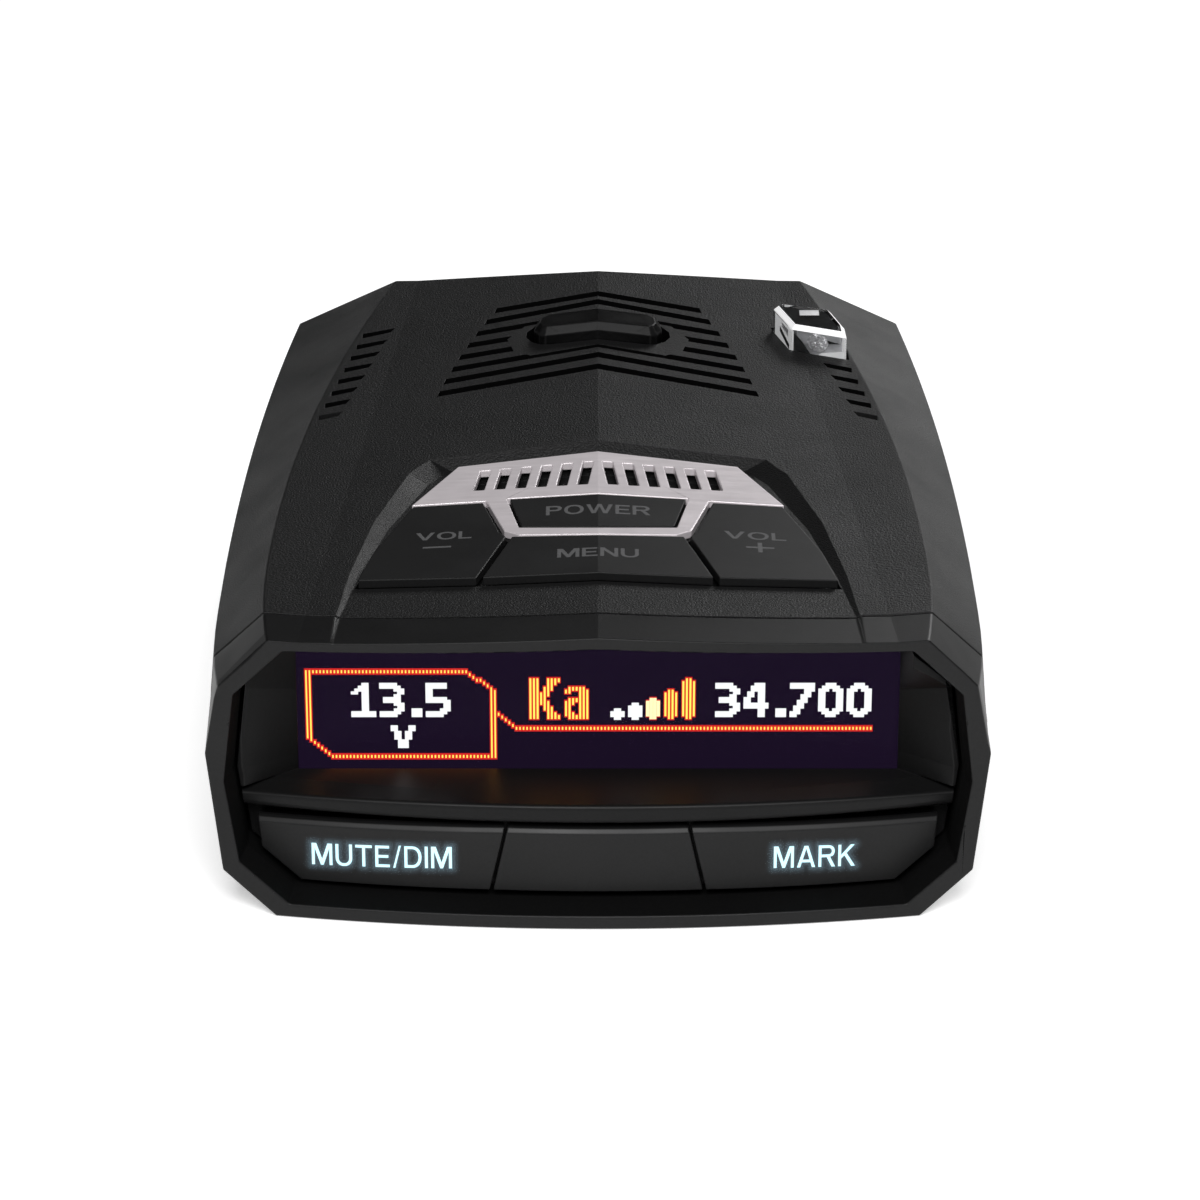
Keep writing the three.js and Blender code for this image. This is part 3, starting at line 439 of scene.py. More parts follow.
def plastic(name, shade, roughness, grain, depth, specular=0.25):
    """Moulded plastic in a neutral shade or a colour; grain is in features per millimetre."""
    if isinstance(shade, tuple):
        dark, pale = tuple(channel * 0.8 for channel in shade), shade
    else:
        low, high = shade * 0.88, shade * 1.12
        dark, pale = (low, low, low * 1.02), (high, high, high * 1.03)
    made = material(name, pale, roughness, **{"Specular IOR Level": specular})
    add_bump(made, noise(made, grain, 3.0), depth)
    vary(made, noise(made, 0.12, 5.0), "Roughness", roughness - 0.04, roughness + 0.05)
    vary(made, noise(made, grain * 0.5, 2.0), "Base Color", dark, pale)
    return made


def brushed_metal(name, colour, roughness, metallic=1.0, stretch=(1, 1, 1), dents=0.0):
    """Metal with fine brush marks, or with dents of a depth."""
    made = material(name, colour, roughness, Metallic=metallic)
    brush = noise(made, 1.2, 6.0, stretch)
    if dents:
        add_bump(made, noise(made, 1.6, 3.0), dents)
    else:
        add_bump(made, brush, 0.004)
    vary(made, brush, "Roughness", roughness - 0.07, roughness + 0.09)
    dim = tuple(channel * 0.88 for channel in colour)
    vary(made, noise(made, 0.25, 4.0), "Base Color", dim, colour)
    return made


def shining(made, strength, colour=(1, 1, 1)):
    """Gives a material light of its own."""
    shader = shader_of(made)
    shader.inputs["Emission Color"].default_value = (*colour, 1)
    shader.inputs["Emission Strength"].default_value = strength
    return made


def glow(name, colour, strength):
    made = material(name, tuple(channel * 0.3 for channel in colour), 0.5, **NO_GLOSS)
    return shining(made, strength, colour)


def clear(name, colour, roughness, **settings):
    """Clear or tinted plastic with a faint ripple."""
    made = material(name, colour, roughness, **settings)
    add_bump(made, noise(made, 0.3, 2.0), 0.002, 0.3)
    return made


CASE = plastic("case_grain", 0.009, 0.5, 5.0, 0.09)
# Painted shade: a near-black copy of the case plastic for the upright walls of the louvres and the hollows
# among them, where little light reaches.
LOUVRE_PAINTED_SHADE = plastic("louvre_painted_shade", 0.002, 0.8, 3.0, 0.01, 0.02)
BEZEL = plastic("bezel_satin", 0.008, 0.42, 6.0, 0.008, 0.22)
# Painted shade: a darker copy of the bezel plastic for the inner walls of its mouth, where little light
# reaches.
THROAT_PAINTED_SHADE = plastic("bezel_throat_painted_shade", 0.004, 0.6, 6.0, 0.008, 0.07)
SHROUD = plastic("shroud_satin", 0.006, 0.42, 6.0, 0.006, 0.17)
KEY = plastic("key_satin", 0.009, 0.46, 7.0, 0.005)
FRONT_KEY = plastic("front_key_satin", 0.008, 0.44, 7.0, 0.005)
BUTTON_PAINT = plastic("button_satin", 0.007, 0.42, 6.0, 0.006, 0.12)
LINER = plastic("liner_moulding", 0.015, 0.6, 3.0, 0.01)
MOULDED = {"socket": 0.01, "sensor": 0.012, "switch": 0.02, "plunger": 0.7}
SOCKET, SENSOR, SWITCH, PLUNGER = [
    plastic(f"{piece}_moulding", shade, 0.5, 3.0, 0.008) for piece, shade in MOULDED.items()
]
CONE = plastic("cone_paper", 0.02, 0.85, 1.5, 0.05)
TRIM_METAL = brushed_metal("satin_trim", (0.86, 0.80, 0.825), 0.36, 0.3, (0.15, 2.0, 1.0))
TIN = brushed_metal("tin_plate", (0.6, 0.61, 0.62), 0.3, stretch=(1.0, 0.2, 1.0))
CAST = brushed_metal("die_cast", (0.42, 0.43, 0.44), 0.5)
SPRING = brushed_metal("spring_wire", (0.6, 0.6, 0.6), 0.25)
MAGNET = brushed_metal("magnet_coat", (0.1, 0.1, 0.105), 0.5, 0.8)
SCREW = brushed_metal("black_steel", (0.05, 0.05, 0.052), 0.35)
BOARD = plastic("solder_mask", (0.012, 0.07, 0.03), 0.4, 1.0, 0.02)
RIBBON = plastic("ribbon_film", (0.25, 0.10, 0.02), 0.35, 2.0, 0.004)
PATCH = plastic("patch_ceramic", (0.55, 0.46, 0.28), 0.6, 3.0, 0.01)
WINDOW = clear("smoked_window", (0.004, 0.002, 0.006), 0.06, Alpha=0.22, **{"Specular IOR Level": 0.04})
INFRARED = clear("infrared_window", (0.012, 0.001, 0.002), 0.08, Alpha=0.9)
LENS_CLEAR = clear("clear_lens", (0.97, 0.98, 1.0), 0.03, IOR=1.5, **{"Transmission Weight": 1.0})
# Painted highlight: a faint white glow on the lens chamfer in place of reflected light.
LENS_CHAMFER_HIGHLIGHT = shining(clear("lens_chamfer_painted_highlight", (0.95, 0.95, 0.96), 0.2), 0.3)
LENS_GREY = plastic("lens_backing", 0.5, 0.4, 2.0, 0.03)
# Painted reflection: white glowing plates behind the lens faces stand in for light reflected in the glass.
LENS_PAINTED_REFLECTION = glow("painted_lens_reflection", (1.0, 1.0, 1.0), 0.4)
# Painted shade: dark plates behind the lens faces and a dark sheet under its top for the dark parts seen in
# the glass.
LENS_PAINTED_SHADE = plastic("lens_painted_shade", 0.035, 0.5, 2.0, 0.01, 0.1)
FOIL = brushed_metal("cup_foil", (0.9, 0.89, 0.9), 0.3, 0.5, dents=0.35)
CHIP = plastic("chip_label", 0.75, 0.5, 3.0, 0.004)
PANEL_GLOW = glow("display_panel_lit", (0.0135, 0.0072, 0.0235), 1.0)
LEGEND = plastic("grey_legend", 0.10, 0.6, 8.0, 0.002)
PIXEL_WHITE = glow("pixel_white", (0.95, 0.97, 1.0), 1.6)
PIXEL_RED = glow("pixel_red", (1.0, 0.03, 0.03), 1.0)
PIXEL_YELLOW = glow("pixel_yellow", (1.0, 0.74, 0.12), 2.1)
PIXEL_PALE = glow("pixel_pale", (1.0, 0.93, 0.5), 1.8)
LEGEND_GLOW = glow("legend_glow", (0.60, 0.92, 1.0), 1.15)
LEGEND_HALO = glow("legend_halo", (0.42, 0.62, 0.75), 0.8)


def fade(made, attribute):
    """Lets a piece fade out with a value stored on its points."""
    tree = made.node_tree
    share = tree.nodes.new("ShaderNodeAttribute")
    share.attribute_name = attribute
    tree.links.new(share.outputs["Fac"], shader_of(made).inputs["Alpha"])


fade(LEGEND_HALO, "glow")


# ---- Finished pieces -----------------------------------------------------------------
SHELL_EDGE = 0.12
SMALLEST_EDGE = 0.0005


def bevel(obj, width, segments, angle):
    """A bevel on every edge sharper than an angle in degrees."""
    rounding = obj.modifiers.new("edges", "BEVEL")
    rounding.width = width
    rounding.segments = segments
    rounding.limit_method = "ANGLE"
    rounding.angle_limit = math.radians(angle)
    return rounding


def rounded(obj, width, segments=2):
    """Rounds every edge, even where edges are crowded."""
    rounding = bevel(obj, width, segments, 14)
    rounding.use_clamp_overlap = False
    rounding.miter_outer = "MITER_ARC"
    bake(obj)


def without_slivers(obj):
    """Dissolves edges and faces of no size that the cuts leave behind."""
    def dissolve(shape):
        bmesh.ops.dissolve_degenerate(shape, dist=SMALLEST_EDGE, edges=shape.edges)

    reshape(obj.data, dissolve)


def within(obj, node):
    """Keeps the rounded corners of a piece inside the box of its CAD node."""
    low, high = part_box(node)
    for vertex in obj.data.vertices:
        vertex.co = [min(max(at, low[axis] / MM), high[axis] / MM) for axis, at in enumerate(vertex.co)]


def finished(obj, name, made, body, slot, *nodes, edge=0.0, sharp=2.4):
    """Rounds the edges, turns millimetres into metres and puts the piece on its body."""
    if edge:
        rounded(obj, edge)
    mesh = obj.data
    mesh.transform(Matrix.Scale(MM, 4))
    mesh.shade_smooth()
    mesh.set_sharp_from_angle(angle=math.radians(sharp))
    obj.name = mesh.name = name
    mesh.materials.clear()
    mesh.materials.append(made)
    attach(obj, body)
    if nodes:
        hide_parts(*nodes)
    return obj


def dressed(node, made, edge=0.0):
    """A CAD node that keeps its shape, with soft edges and its own material."""
    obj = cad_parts[node]
    if edge:
        weld = obj.modifiers.new("weld", "WELD")
        weld.merge_threshold = 0.001 * MM
        bevel(obj, edge * MM, 2, 20)
    obj.data.materials.clear()
    obj.data.materials.append(made)


# ---- Covers --------------------------------------------------------------------------
STEM_WELL_X, STEM_WELL_Y = 2.3, 1.8
SLOT_MARGIN, SLOT_TOP = 1.5, 27.9
POST, POST_FOOT, POST_BORE, POST_BORE_TOP = 2.6, 7.1, 1.4, 13.5
BOSS, BOSS_TOP, HEAD_BORE, HEAD_BORE_TOP, SHANK_BORE = 4.2, 4.9, 3.0, 2.6, 1.5
JACK_BORE = 3.4
# The zone whose upright faces get the painted shade, and how upright a face must be.
SHADE_ZONE_FRONT, SHADE_ZONE_HALF, SHADE_ZONE_Z, UPRIGHT = 12, 30, 22, 0.3


def screw_place(index):
    low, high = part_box(f"case_screw_{index}")
    return (low.x + high.x) / 2 / MM, (low.y + high.y) / 2 / MM


SCREWS = [screw_place(index) for index in range(1, 5)]


def screw_rods(radius, z0, z1):
    return [rod_z(x, y, radius, z0, z1) for x, y in SCREWS]


def top_cover():
    """The upper shell; the upright walls in its louvre zone carry painted shade, darker than the roof."""
    shell = common(covers(), slab(PARTING_Z + GAP / 2, 40))
    rounded(shell, SHELL_EDGE)
    within(shell, "top_cover")
    cut(shell, cavity())
    join(shell, common(covers(), on_recess(prism_z(DECK, -DECK_DEPTH, 6))))
    sunk = (POWER_POCKET, LOWER_POCKET, TRIM_WELL)
    pockets = [on_recess(prism_z(outline, -KEY_POCKET, 1)) for outline in sunk]
    wx, wy = STEM_WELL_X, STEM_WELL_Y
    wells = [block(x - wx, x + wx, y - wy, y + wy, 24, 32) for x, y in STEMS]
    half = SLOT_HALF + SLOT_MARGIN
    slot = block(-half, half, REAR_WALL_Y - 1, 60, SLOT_FLOOR - SLOT_MARGIN, SLOT_TOP)
    well, lens_hole = on_roof(prism_z(BUTTON_WELL, -5, 3)), prism_z(inset(LENS, -GAP), 26, 34)
    cut(shell, key_recess(), *pockets, *wells, *louvres(), well, lens_hole, slot)
    posts = screw_rods(POST, POST_FOOT, 29)
    for post in posts:
        common(post, covers())
    join(shell, *posts)
    cut(shell, *screw_rods(POST_BORE, 0, POST_BORE_TOP))
    finished(shell, "top_cover_shell", CASE, "case", "case_plastic", "top_cover")
    # Upright faces in the louvre zone take the painted shade.
    shell.data.materials.append(LOUVRE_PAINTED_SHADE)
    for face in shell.data.polygons:
        x, y, z = face.center / MM
        in_shade_zone = SHADE_ZONE_FRONT < y < REAR_WALL_Y and abs(x) < SHADE_ZONE_HALF and z > SHADE_ZONE_Z
        if in_shade_zone and abs(face.normal.z) < UPRIGHT:
            face.material_index = 1


def opening(node, margin=GAP):
    """The box of a CAD node with a margin, as pairs of limits for each axis."""
    low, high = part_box(node)
    return [(low[axis] / MM - margin, high[axis] / MM + margin) for axis in range(3)]


def bottom_cover():
    shell = common(covers(), slab(-1, PARTING_Z - GAP / 2))
    rounded(shell, SHELL_EDGE)
    cut(shell, cavity())
    bosses = screw_rods(BOSS, 0, BOSS_TOP)
    for boss in bosses:
        common(boss, envelope())
    join(shell, *bosses)
    power, usb, window = opening("power_socket"), opening("usb_socket"), opening("front_laser_window")
    jack = opening("audio_jack", 0)
    jack_y, jack_z = sum(jack[1]) / 2, sum(jack[2]) / 2
    cutters = screw_rods(HEAD_BORE, -1, HEAD_BORE_TOP) + screw_rods(SHANK_BORE, 2, 8)
    cutters.append(block(30, 45, *power[1], *power[2]))
    cutters.append(block(-45, -30, *usb[1], *usb[2]))
    cutters.append(rod_x(jack_y, jack_z, JACK_BORE, -45, -30))
    cutters.append(block(*window[0], REAR_WALL_Y - 1, 60, *window[2]))
    cut(shell, *cutters)
    without_slivers(shell)
    finished(shell, "bottom_cover_shell", CASE, "case", "case_plastic", "bottom_cover")


# ---- Bezel and shroud ----------------------------------------------------------------
BEZEL_MOUTH = [(0, 30.3), (30.5, 28.9), (35.5, 23.8), (36.7, 14.3), (35.4, 5.65), (30.5, 1.4), (0, 1.4)]
BEZEL_THROAT = [(0, 29.2), (30.2, 28.2), (34.9, 23.5), (35.95, 14.3), (34.85, 5.9), (30.1, 1.8), (0, 1.8)]
THROAT_DEPTH = 3.6
SHROUD_OUTLINE = [(0, 27.6), (29.9, 27.6), (34.6, 23.3), (35.65, 14.3), (34.55, 6.1)]
SHROUD_OUTLINE += [(29.95, 2.1), (0, 2.1)]
KEY_ROW_TOP = 9.95
BEZEL_EDGE = 0.16
SEAM_DEPTH, SEAM_LAP, SEAM_CLEARANCE = 0.6, 0.5, 0.02
# Depth behind the bowed front face where the painted shade in the mouth begins.
THROAT_SHADE_START = 0.5
DISPLAY_SEAT = 0.6
NICHE_FRONT = -54
NICHE_MOUTH = [(0, 32.4), (32.3, 32.4), (44.2, 27.1), (46.4, 14.3), (45.8, SHELF_Z), (0, SHELF_Z)]
NICHE_BACK = [(0, DISPLAY_TOP), (DISPLAY_HALF, DISPLAY_TOP), (DISPLAY_HALF, 20.7), (DISPLAY_HALF, 14)]
NICHE_BACK += [(DISPLAY_HALF, SHELF_Z), (0, SHELF_Z)]
LIP = [(0.45, SHELF_Z), (0.2, 11.93), (0.05, 11.78), (0.0, 11.5), (0.0, 10.6)]
LIP += [(0.15, 10.2), (0.5, KEY_ROW_TOP)]
LIP_SAG = 0.0004


def divided(outline, parts):
    """An outline with every side divided into equal parts."""
    points = []
    for (x0, z0), (x1, z1) in zip(outline, outline[1:] + outline[:1]):
        points += [(x0 + (x1 - x0) * k / parts, z0 + (z1 - z0) * k / parts) for k in range(parts)]
    return points


def bezel_mouth():
    """The opening through the bezel; its depths are measured from the bowed front face."""
    rings = []
    levels = ((-9, BEZEL_MOUTH), (0, BEZEL_MOUTH), (THROAT_DEPTH, BEZEL_THROAT), (14, BEZEL_THROAT))
    for depth, half in levels:
        outline = divided(mirrored(half), 12)
        rings.append([(x, FRONT + FRONT_BOW * x * x + depth, z) for x, z in outline])
    return solid(rings)


def front_bezel():
    """The ring around the front, with a flange that closes the seam to the covers from inside; painted
    shade darkens the inner walls of its mouth.
    """
    rear = FRONT + BEZEL_DEPTH
    band = common(envelope(), between(FRONT, FRONT_BOW, rear, FRONT_BOW))
    cut(band, bezel_mouth(), key_recess())
    rounded(band, BEZEL_EDGE, 3)
    seam = envelope(SEAM_DEPTH)
    common(seam, between(rear - SEAM_LAP, FRONT_BOW, rear + GAP - SEAM_CLEARANCE, FRONT_BOW))
    cut(seam, bezel_mouth(), key_recess())
    join(band, seam)
    without_slivers(band)
    finished(band, "front_bezel_ring", BEZEL, "case", "bezel_plastic", "front_bezel")
    # Inward faces of the mouth deeper than the start depth take the painted shade.
    band.data.materials.append(THROAT_PAINTED_SHADE)
    for face in band.data.polygons:
        x, y, z = face.center / MM
        depth = y - FRONT - FRONT_BOW * x * x
        faces_inwards = face.normal.x * x + face.normal.z * (z - PARTING_Z) < 0
        if depth > THROAT_SHADE_START and faces_inwards:
            face.material_index = 1


def lip_cutter():
    """What lies in front of the shelf's rounded lip."""
    rings = []
    for i in range(41):
        x = -40 + 2 * i
        bow, sag = LIP_Y + KEY_BOW * x * x, LIP_SAG * x * x
        profile = [(-60, SHELF_Z + 0.01), (bow + 3.2, SHELF_Z + 0.01)]
        profile += [(bow + y, z - sag * (z > 11)) for y, z in LIP] + [(-60, KEY_ROW_TOP)]
        rings.append([(x, y, z) for y, z in profile])
    return solid(rings)


def display_shroud():
    """The moulding behind the bezel: the niche of the display, the shelf and the row of keys."""
    body = common(prism_y(mirrored(SHROUD_OUTLINE), -56, -40.1), between(LIP_Y, KEY_BOW, -30, 0))
    niche = loft_y([(NICHE_FRONT, mirrored(NICHE_MOUTH)), (DISPLAY_Y, mirrored(NICHE_BACK))])
    seat = block(-31, 31, DISPLAY_Y, -30, SHELF_Z - DISPLAY_SEAT, DISPLAY_TOP + DISPLAY_SEAT)
    row = between(-60, 0, LIP_Y + 2.3, KEY_BOW, -5, KEY_ROW_TOP)
    behind = between(LIP_Y + 3.8, KEY_BOW, -30, 0, 3.3, SHELF_Z - 1.4)
    common(behind, block(-33, 33, -60, -20, 0, 20))
    stems = [block(x - 2.3, x + 2.3, -60, -30, 4.4, 8.0) for x in (-21.5, -4, 4, 21.5)]
    cut(body, niche, seat, row, lip_cutter(), behind, *stems)
    name = "display_shroud_moulding"
    finished(body, name, SHROUD, "case", "shroud_plastic", "display_shroud", edge=0.08)


# ---- Keys, trim and button from the frame --------------------------------------------
TRIM_SLOTS, TRIM_SLOT_START, TRIM_SLOT_PITCH = 6, 1.3, 2.15
TRIM_SLOT_HALF, TRIM_SLOT_LEAN = 0.55, 0.3


def trim_plate():
    """The pale plate around the power key, with leaning slots behind it."""
    half, lean = TRIM_SLOT_HALF, TRIM_SLOT_LEAN
    plate = prism_z(TRIM, 0.05, KEY_HEIGHT)
    slots = []
    for i in range(TRIM_SLOTS):
        x = TRIM_SLOT_START + TRIM_SLOT_PITCH * i
        front, rear = -12.6 - 0.03 * x, -5.7 - 0.12 * x
        outline = [(x - half + lean, front), (x + half + lean, front)]
        outline += [(x + half - lean, rear), (x - half - lean, rear)]
        slots.append(prism_z(outline, -1, 2))
    plate = on_recess(cut(plate, prism_z(TRIM_HOLE, -1, 2), *slots))
    finished(plate, "trim_plate_cover", TRIM_METAL, "case", "satin_trim", "trim_plate", edge=0.1)


def release_button():
    """The bar on the roof; the foot below it stays as it is in the frame."""
    bar = on_roof(loft_z([(-3.5, BUTTON), (BUTTON_EDGE, BUTTON), (BUTTON_TOP, BUTTON_FACE)]))
    finished(bar, "release_bar", BUTTON_PAINT, "mount_release", "button_plastic", edge=0.09)


SIDE_KEY = [(9.14, 9.7), (33.74, 9.2), (33.4, 5.6), (29.5, 2.35), (10.7, 2.6)]
CENTRE_PANEL = [(0, 9.7), (8.84, 9.7), (10.35, 2.6), (0, 2.6)]
CHAMFER_DEPTH, CHAMFER_HEIGHT = 0.35, 0.45


def front_key(node, outline, stems, body):
    """A bowed cap whose upper front edge slopes back, on the stems behind it."""
    rings = []
    for i in range(73):
        x = -36 + i
        bow = LIP_Y + KEY_BOW * x * x
        top = 9.4 - 0.0245 * max(abs(x) - 9.2, 0)
        profile = [(bow + CHAMFER_DEPTH, top), (bow, top - CHAMFER_HEIGHT), (bow, 0)]
        profile += [(bow + CAP, 0), (bow + CAP, top)]
        rings.append([(x, y, z) for y, z in profile])
    cap = common(solid(rings), prism_y(outline, -60, -40))
    for x in stems:
        stem = block(x - 2, x + 2, -60, -42.4, 4.7, 7.7)
        join(cap, common(stem, between(LIP_Y + 0.7, KEY_BOW, -30, 0)))
    finished(cap, f"{node}_cap", FRONT_KEY, body, "front_key_plastic", node, edge=0.1)


# ---- Lens ----------------------------------------------------------------------------
LENS_BOTTOM, LENS_TOP = (corner.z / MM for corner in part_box("rear_laser_lens"))
LENS_FRONT, LENS_END, LENS_FLANK = (0, 1), (1, 2), (5, 0)
LENS_CHAMFER = 0.5


def laser_lens():
    """The clear prism; its chamfer carries a painted highlight, a faint white glow."""
    levels = [(LENS_BOTTOM, LENS), (LENS_TOP - LENS_CHAMFER, LENS), (LENS_TOP, inset(LENS, LENS_CHAMFER))]
    lens = loft_z(levels)
    finished(lens, "laser_lens_prism", LENS_CLEAR, "case", "clear_lens", "rear_laser_lens", edge=0.05)
    lens.data.materials.append(LENS_CHAMFER_HIGHLIGHT)
    # The sloping chamfer faces take the painted highlight.
    for face in lens.data.polygons:
        if 0.2 < face.normal.z < 0.95:
            face.material_index = 1


def behind_lens_face(side, outline, near, far):
    """A plate parallel to a side of the lens; the outline is in (along the side, below the top)."""
    (x0, y0), (x1, y1) = (LENS[corner] for corner in side)
    length = math.hypot(x1 - x0, y1 - y0)
    dx, dy = (x1 - x0) / length, (y1 - y0) / length

    def place(along, drop, depth):
        return x0 + dx * along - dy * depth, y0 + dy * along + dx * depth, LENS_TOP - drop

    return solid([[place(*point, depth) for point in outline] for depth in (near, far)])


def lens_parts():
    """What shows through the lens: a foil cup, glowing plates of painted reflection, dark plates of painted
    shade and a blank chip.
    """
    cup = [(3.0 + 1.25 * x, 1.75 + 1.05 * z) for x, z in circle(0, 0, 1)]
    back, end, flank = [
        [(first, 3.6), (last, 3.6), (last, 0.8), (first, 0.8)]
        for first, last in ((0.4, 5.88), (0.2, 2.7), (0.3, 6.2))
    ]
    reflector = [(2.5, 3.6), (6.2, 3.6), (6.2, 2.3), (3.6, 2.85)]
    side_notch = [(2.2, 2.3), (5.6, 3.3), (5.6, 2.7), (2.2, 1.7)]
    plates = (
        ("cup", FOIL, LENS_FRONT, cup, 0.45, 0.9),
        ("wedge", LENS_PAINTED_SHADE, LENS_FRONT, [(0.2, 3.3), (0.2, 0.85), (1.2, 1.8), (2.4, 3.3)], 0.12, 0.3),
        ("notch", LENS_PAINTED_SHADE, LENS_FRONT, [(4.2, 1.25), (5.9, 1.45), (4.4, 1.65)], 0.3, 0.4),
        ("reflector", LENS_PAINTED_REFLECTION, LENS_FRONT, reflector, 0.32, 0.42),
        ("back", LENS_GREY, LENS_FRONT, back, 0.8, 0.95),
        ("end_reflector", LENS_PAINTED_REFLECTION, LENS_END, end, 0.1, 0.2),
        ("side_reflector", LENS_PAINTED_REFLECTION, LENS_FLANK, flank, 0.36, 0.5),
        ("side_notch", LENS_PAINTED_SHADE, LENS_FLANK, side_notch, 0.15, 0.3),
        ("side_cell", FOIL, LENS_FLANK, [(2.9, 1.5), (5.2, 1.9), (5.2, 1.1), (2.9, 1.0)], 0.15, 0.3),
    )
    shapes = [(behind_lens_face(*plate), name, made, 0.03) for name, made, *plate in plates]
    # A dark sheet under the top of the lens is painted shade.
    shapes.append((prism_z(inset(LENS, 0.8), LENS_TOP - 0.7, LENS_TOP - 0.62), "top_painted_shade", LENS_PAINTED_SHADE, 0))
    shapes.append((block(22.7, 24.9, 32.6, 34.2, LENS_TOP - 0.02, LENS_TOP + 0.04), "chip", CHIP, 0.02))
    for shape, name, made, edge in shapes:
        finished(shape, f"lens_{name}", made, "case", "clear_lens", edge=edge, sharp=30)


# ---- Legends -------------------------------------------------------------------------
STEM, BAR, LETTER_GAP = 0.15, 0.135, 0.13
ROOF_BOLD, FRONT_THIN = 0.03, -0.02
GLOW_REACH, GLOW_SHARE, GLOW_CELL, GLOW_SAMPLE = 0.9, 0.17, 0.12, 0.06


def arc(x, y, rx, ry, start, end, steps=14):
    """Points of an ellipse arc, a little squarer than round."""
    points = []
    for i in range(steps + 1):
        angle = math.radians(start + (end - start) * i / steps)
        c, s = math.cos(angle), math.sin(angle)
        dx, dy = math.copysign(abs(c) ** 0.92, c), math.copysign(abs(s) ** 0.92, s)
        points.append((x + rx * dx, y + ry * dy))
    return points


def flipped(points, width):
    """A left half outline and its mirror image within a width."""
    return points + [(width - x, y) for x, y in reversed(points)]


def bowl(x, y, width, half, foot):
    """Outline and hole of a stem with a bowl on its right, which P, R and D share."""
    right = width - x
    outline = [(0, foot), (0, y + half), (x, y + half), *arc(x, y, right, half, 90, -90)]
    hole = [(STEM, y - half + BAR), (STEM, y + half - BAR), *arc(x, y, right - STEM, half - BAR, 90, -90)]
    return outline, hole


def crossbar(y):
    """Inner edge of the left leg of an A at a height."""
    return 1.1 * STEM + (0.43 - 1.1 * STEM) * y / 0.84


def ring(rx, ry):
    return arc(0.44, 0.5, rx, ry, 0, 360, 40)[:-1]


A_LOW, A_HIGH = 0.23, 0.23 + BAR
E_ARM = 0.57 - BAR
PLUS_LEFT, PLUS_LOW, PLUS_HIGH = 0.5 - STEM / 2, 0.5 - BAR / 2, 0.5 + BAR / 2
P_BOWL, P_HOLE = bowl(0.42, 0.71, 0.7, 0.29, 0)
R_BOWL, R_HOLE = bowl(0.46, 0.72, 0.76, 0.28, 0)
W_LEFT = [(0.6, 0.76), (0.42, 0), (0.25, 0), (0, 1), (STEM * 1.1, 1), (0.335, 0.22), (0.52, 1)]

# Width and closed outlines of each character, one unit high.
LETTERS = {
    "M": (0.94, [[
        (STEM, 0), (0, 0), (0, 1), (STEM * 1.5, 1), (0.47, 0.3), (0.94 - STEM * 1.5, 1), (0.94, 1),
        (0.94, 0), (0.94 - STEM, 0), (0.94 - STEM, 0.72), (0.47 + STEM * 0.45, 0),
        (0.47 - STEM * 0.45, 0), (STEM, 0.72)]]),
    "N": (0.76, [[
        (STEM, 0), (0, 0), (0, 1), (STEM * 1.1, 1), (0.76 - STEM, 0.28), (0.76 - STEM, 1), (0.76, 1),
        (0.76, 0), (0.76 - STEM * 1.1, 0), (STEM, 0.72)]]),
    "T": (0.76, [flipped([(0.38 - STEM / 2, 0), (0.38 - STEM / 2, 1 - BAR), (0, 1 - BAR), (0, 1)], 0.76)]),
    "E": (0.66, [[
        (0, 0), (0, 1), (0.64, 1), (0.64, 1 - BAR), (STEM, 1 - BAR), (STEM, 0.57), (0.6, 0.57),
        (0.6, E_ARM), (STEM, E_ARM), (STEM, BAR), (0.66, BAR), (0.66, 0)]]),
    "I": (STEM, [[(0, 0), (0, 1), (STEM, 1), (STEM, 0)]]),
    "L": (0.6, [[(0, 0), (0, 1), (STEM, 1), (STEM, BAR), (0.6, BAR), (0.6, 0)]]),
    "A": (0.86, [
        flipped([(crossbar(A_LOW), A_LOW), (1.1 * STEM, 0), (0, 0), (0.335, 1)], 0.86),
        [(crossbar(A_HIGH), A_HIGH), (0.43, 0.84), (0.86 - crossbar(A_HIGH), A_HIGH)]]),
    "V": (0.86, [[
        (0, 1), (STEM * 1.15, 1), (0.43, 0.19), (0.86 - STEM * 1.15, 1), (0.86, 1), (0.52, 0), (0.34, 0)]]),
    "W": (1.2, [W_LEFT + [(1.2 - x, y) for x, y in reversed(W_LEFT[1:])]]),
    "K": (0.78, [[
        (0, 0), (0, 1), (STEM, 1), (STEM, 0.54), (0.57, 1), (0.77, 1), (0.4, 0.61), (0.8, 0), (0.61, 0),
        (0.29, 0.49), (STEM, 0.35), (STEM, 0)]]),
    "U": (0.76, [[
        (0, 1), *arc(0.38, 0.37, 0.38, 0.385, 180, 360), (0.76, 1), (0.76 - STEM, 1),
        *arc(0.38, 0.37, 0.38 - STEM, 0.385 - BAR, 360, 180), (STEM, 1)]]),
    "O": (0.88, [ring(0.44, 0.515), ring(0.44 - STEM, 0.515 - BAR)]),
    "D": (0.78, bowl(0.36, 0.5, 0.78, 0.5, 0)),
    "P": (0.7, [P_BOWL + [(STEM, 0.42), (STEM, 0)], P_HOLE]),
    "R": (0.78, [
        R_BOWL[:-3] + [(0.55, 0.46), (0.79, 0), (0.61, 0), (0.38, 0.44), (STEM, 0.44), (STEM, 0)], R_HOLE]),
    "/": (0.38, [[(0, -0.02), (0.27, 1.02), (0.38, 1.02), (0.11, -0.02)]]),
    "+": (1.0, [flipped([
        (PLUS_LEFT, 0), (PLUS_LEFT, PLUS_LOW), (0, PLUS_LOW), (0, PLUS_HIGH), (PLUS_LEFT, PLUS_HIGH),
        (PLUS_LEFT, 1)], 1.0)]),
    "-": (1.0, [[(0, 0), (0, 1), (1, 1), (1, 0)]]),
}


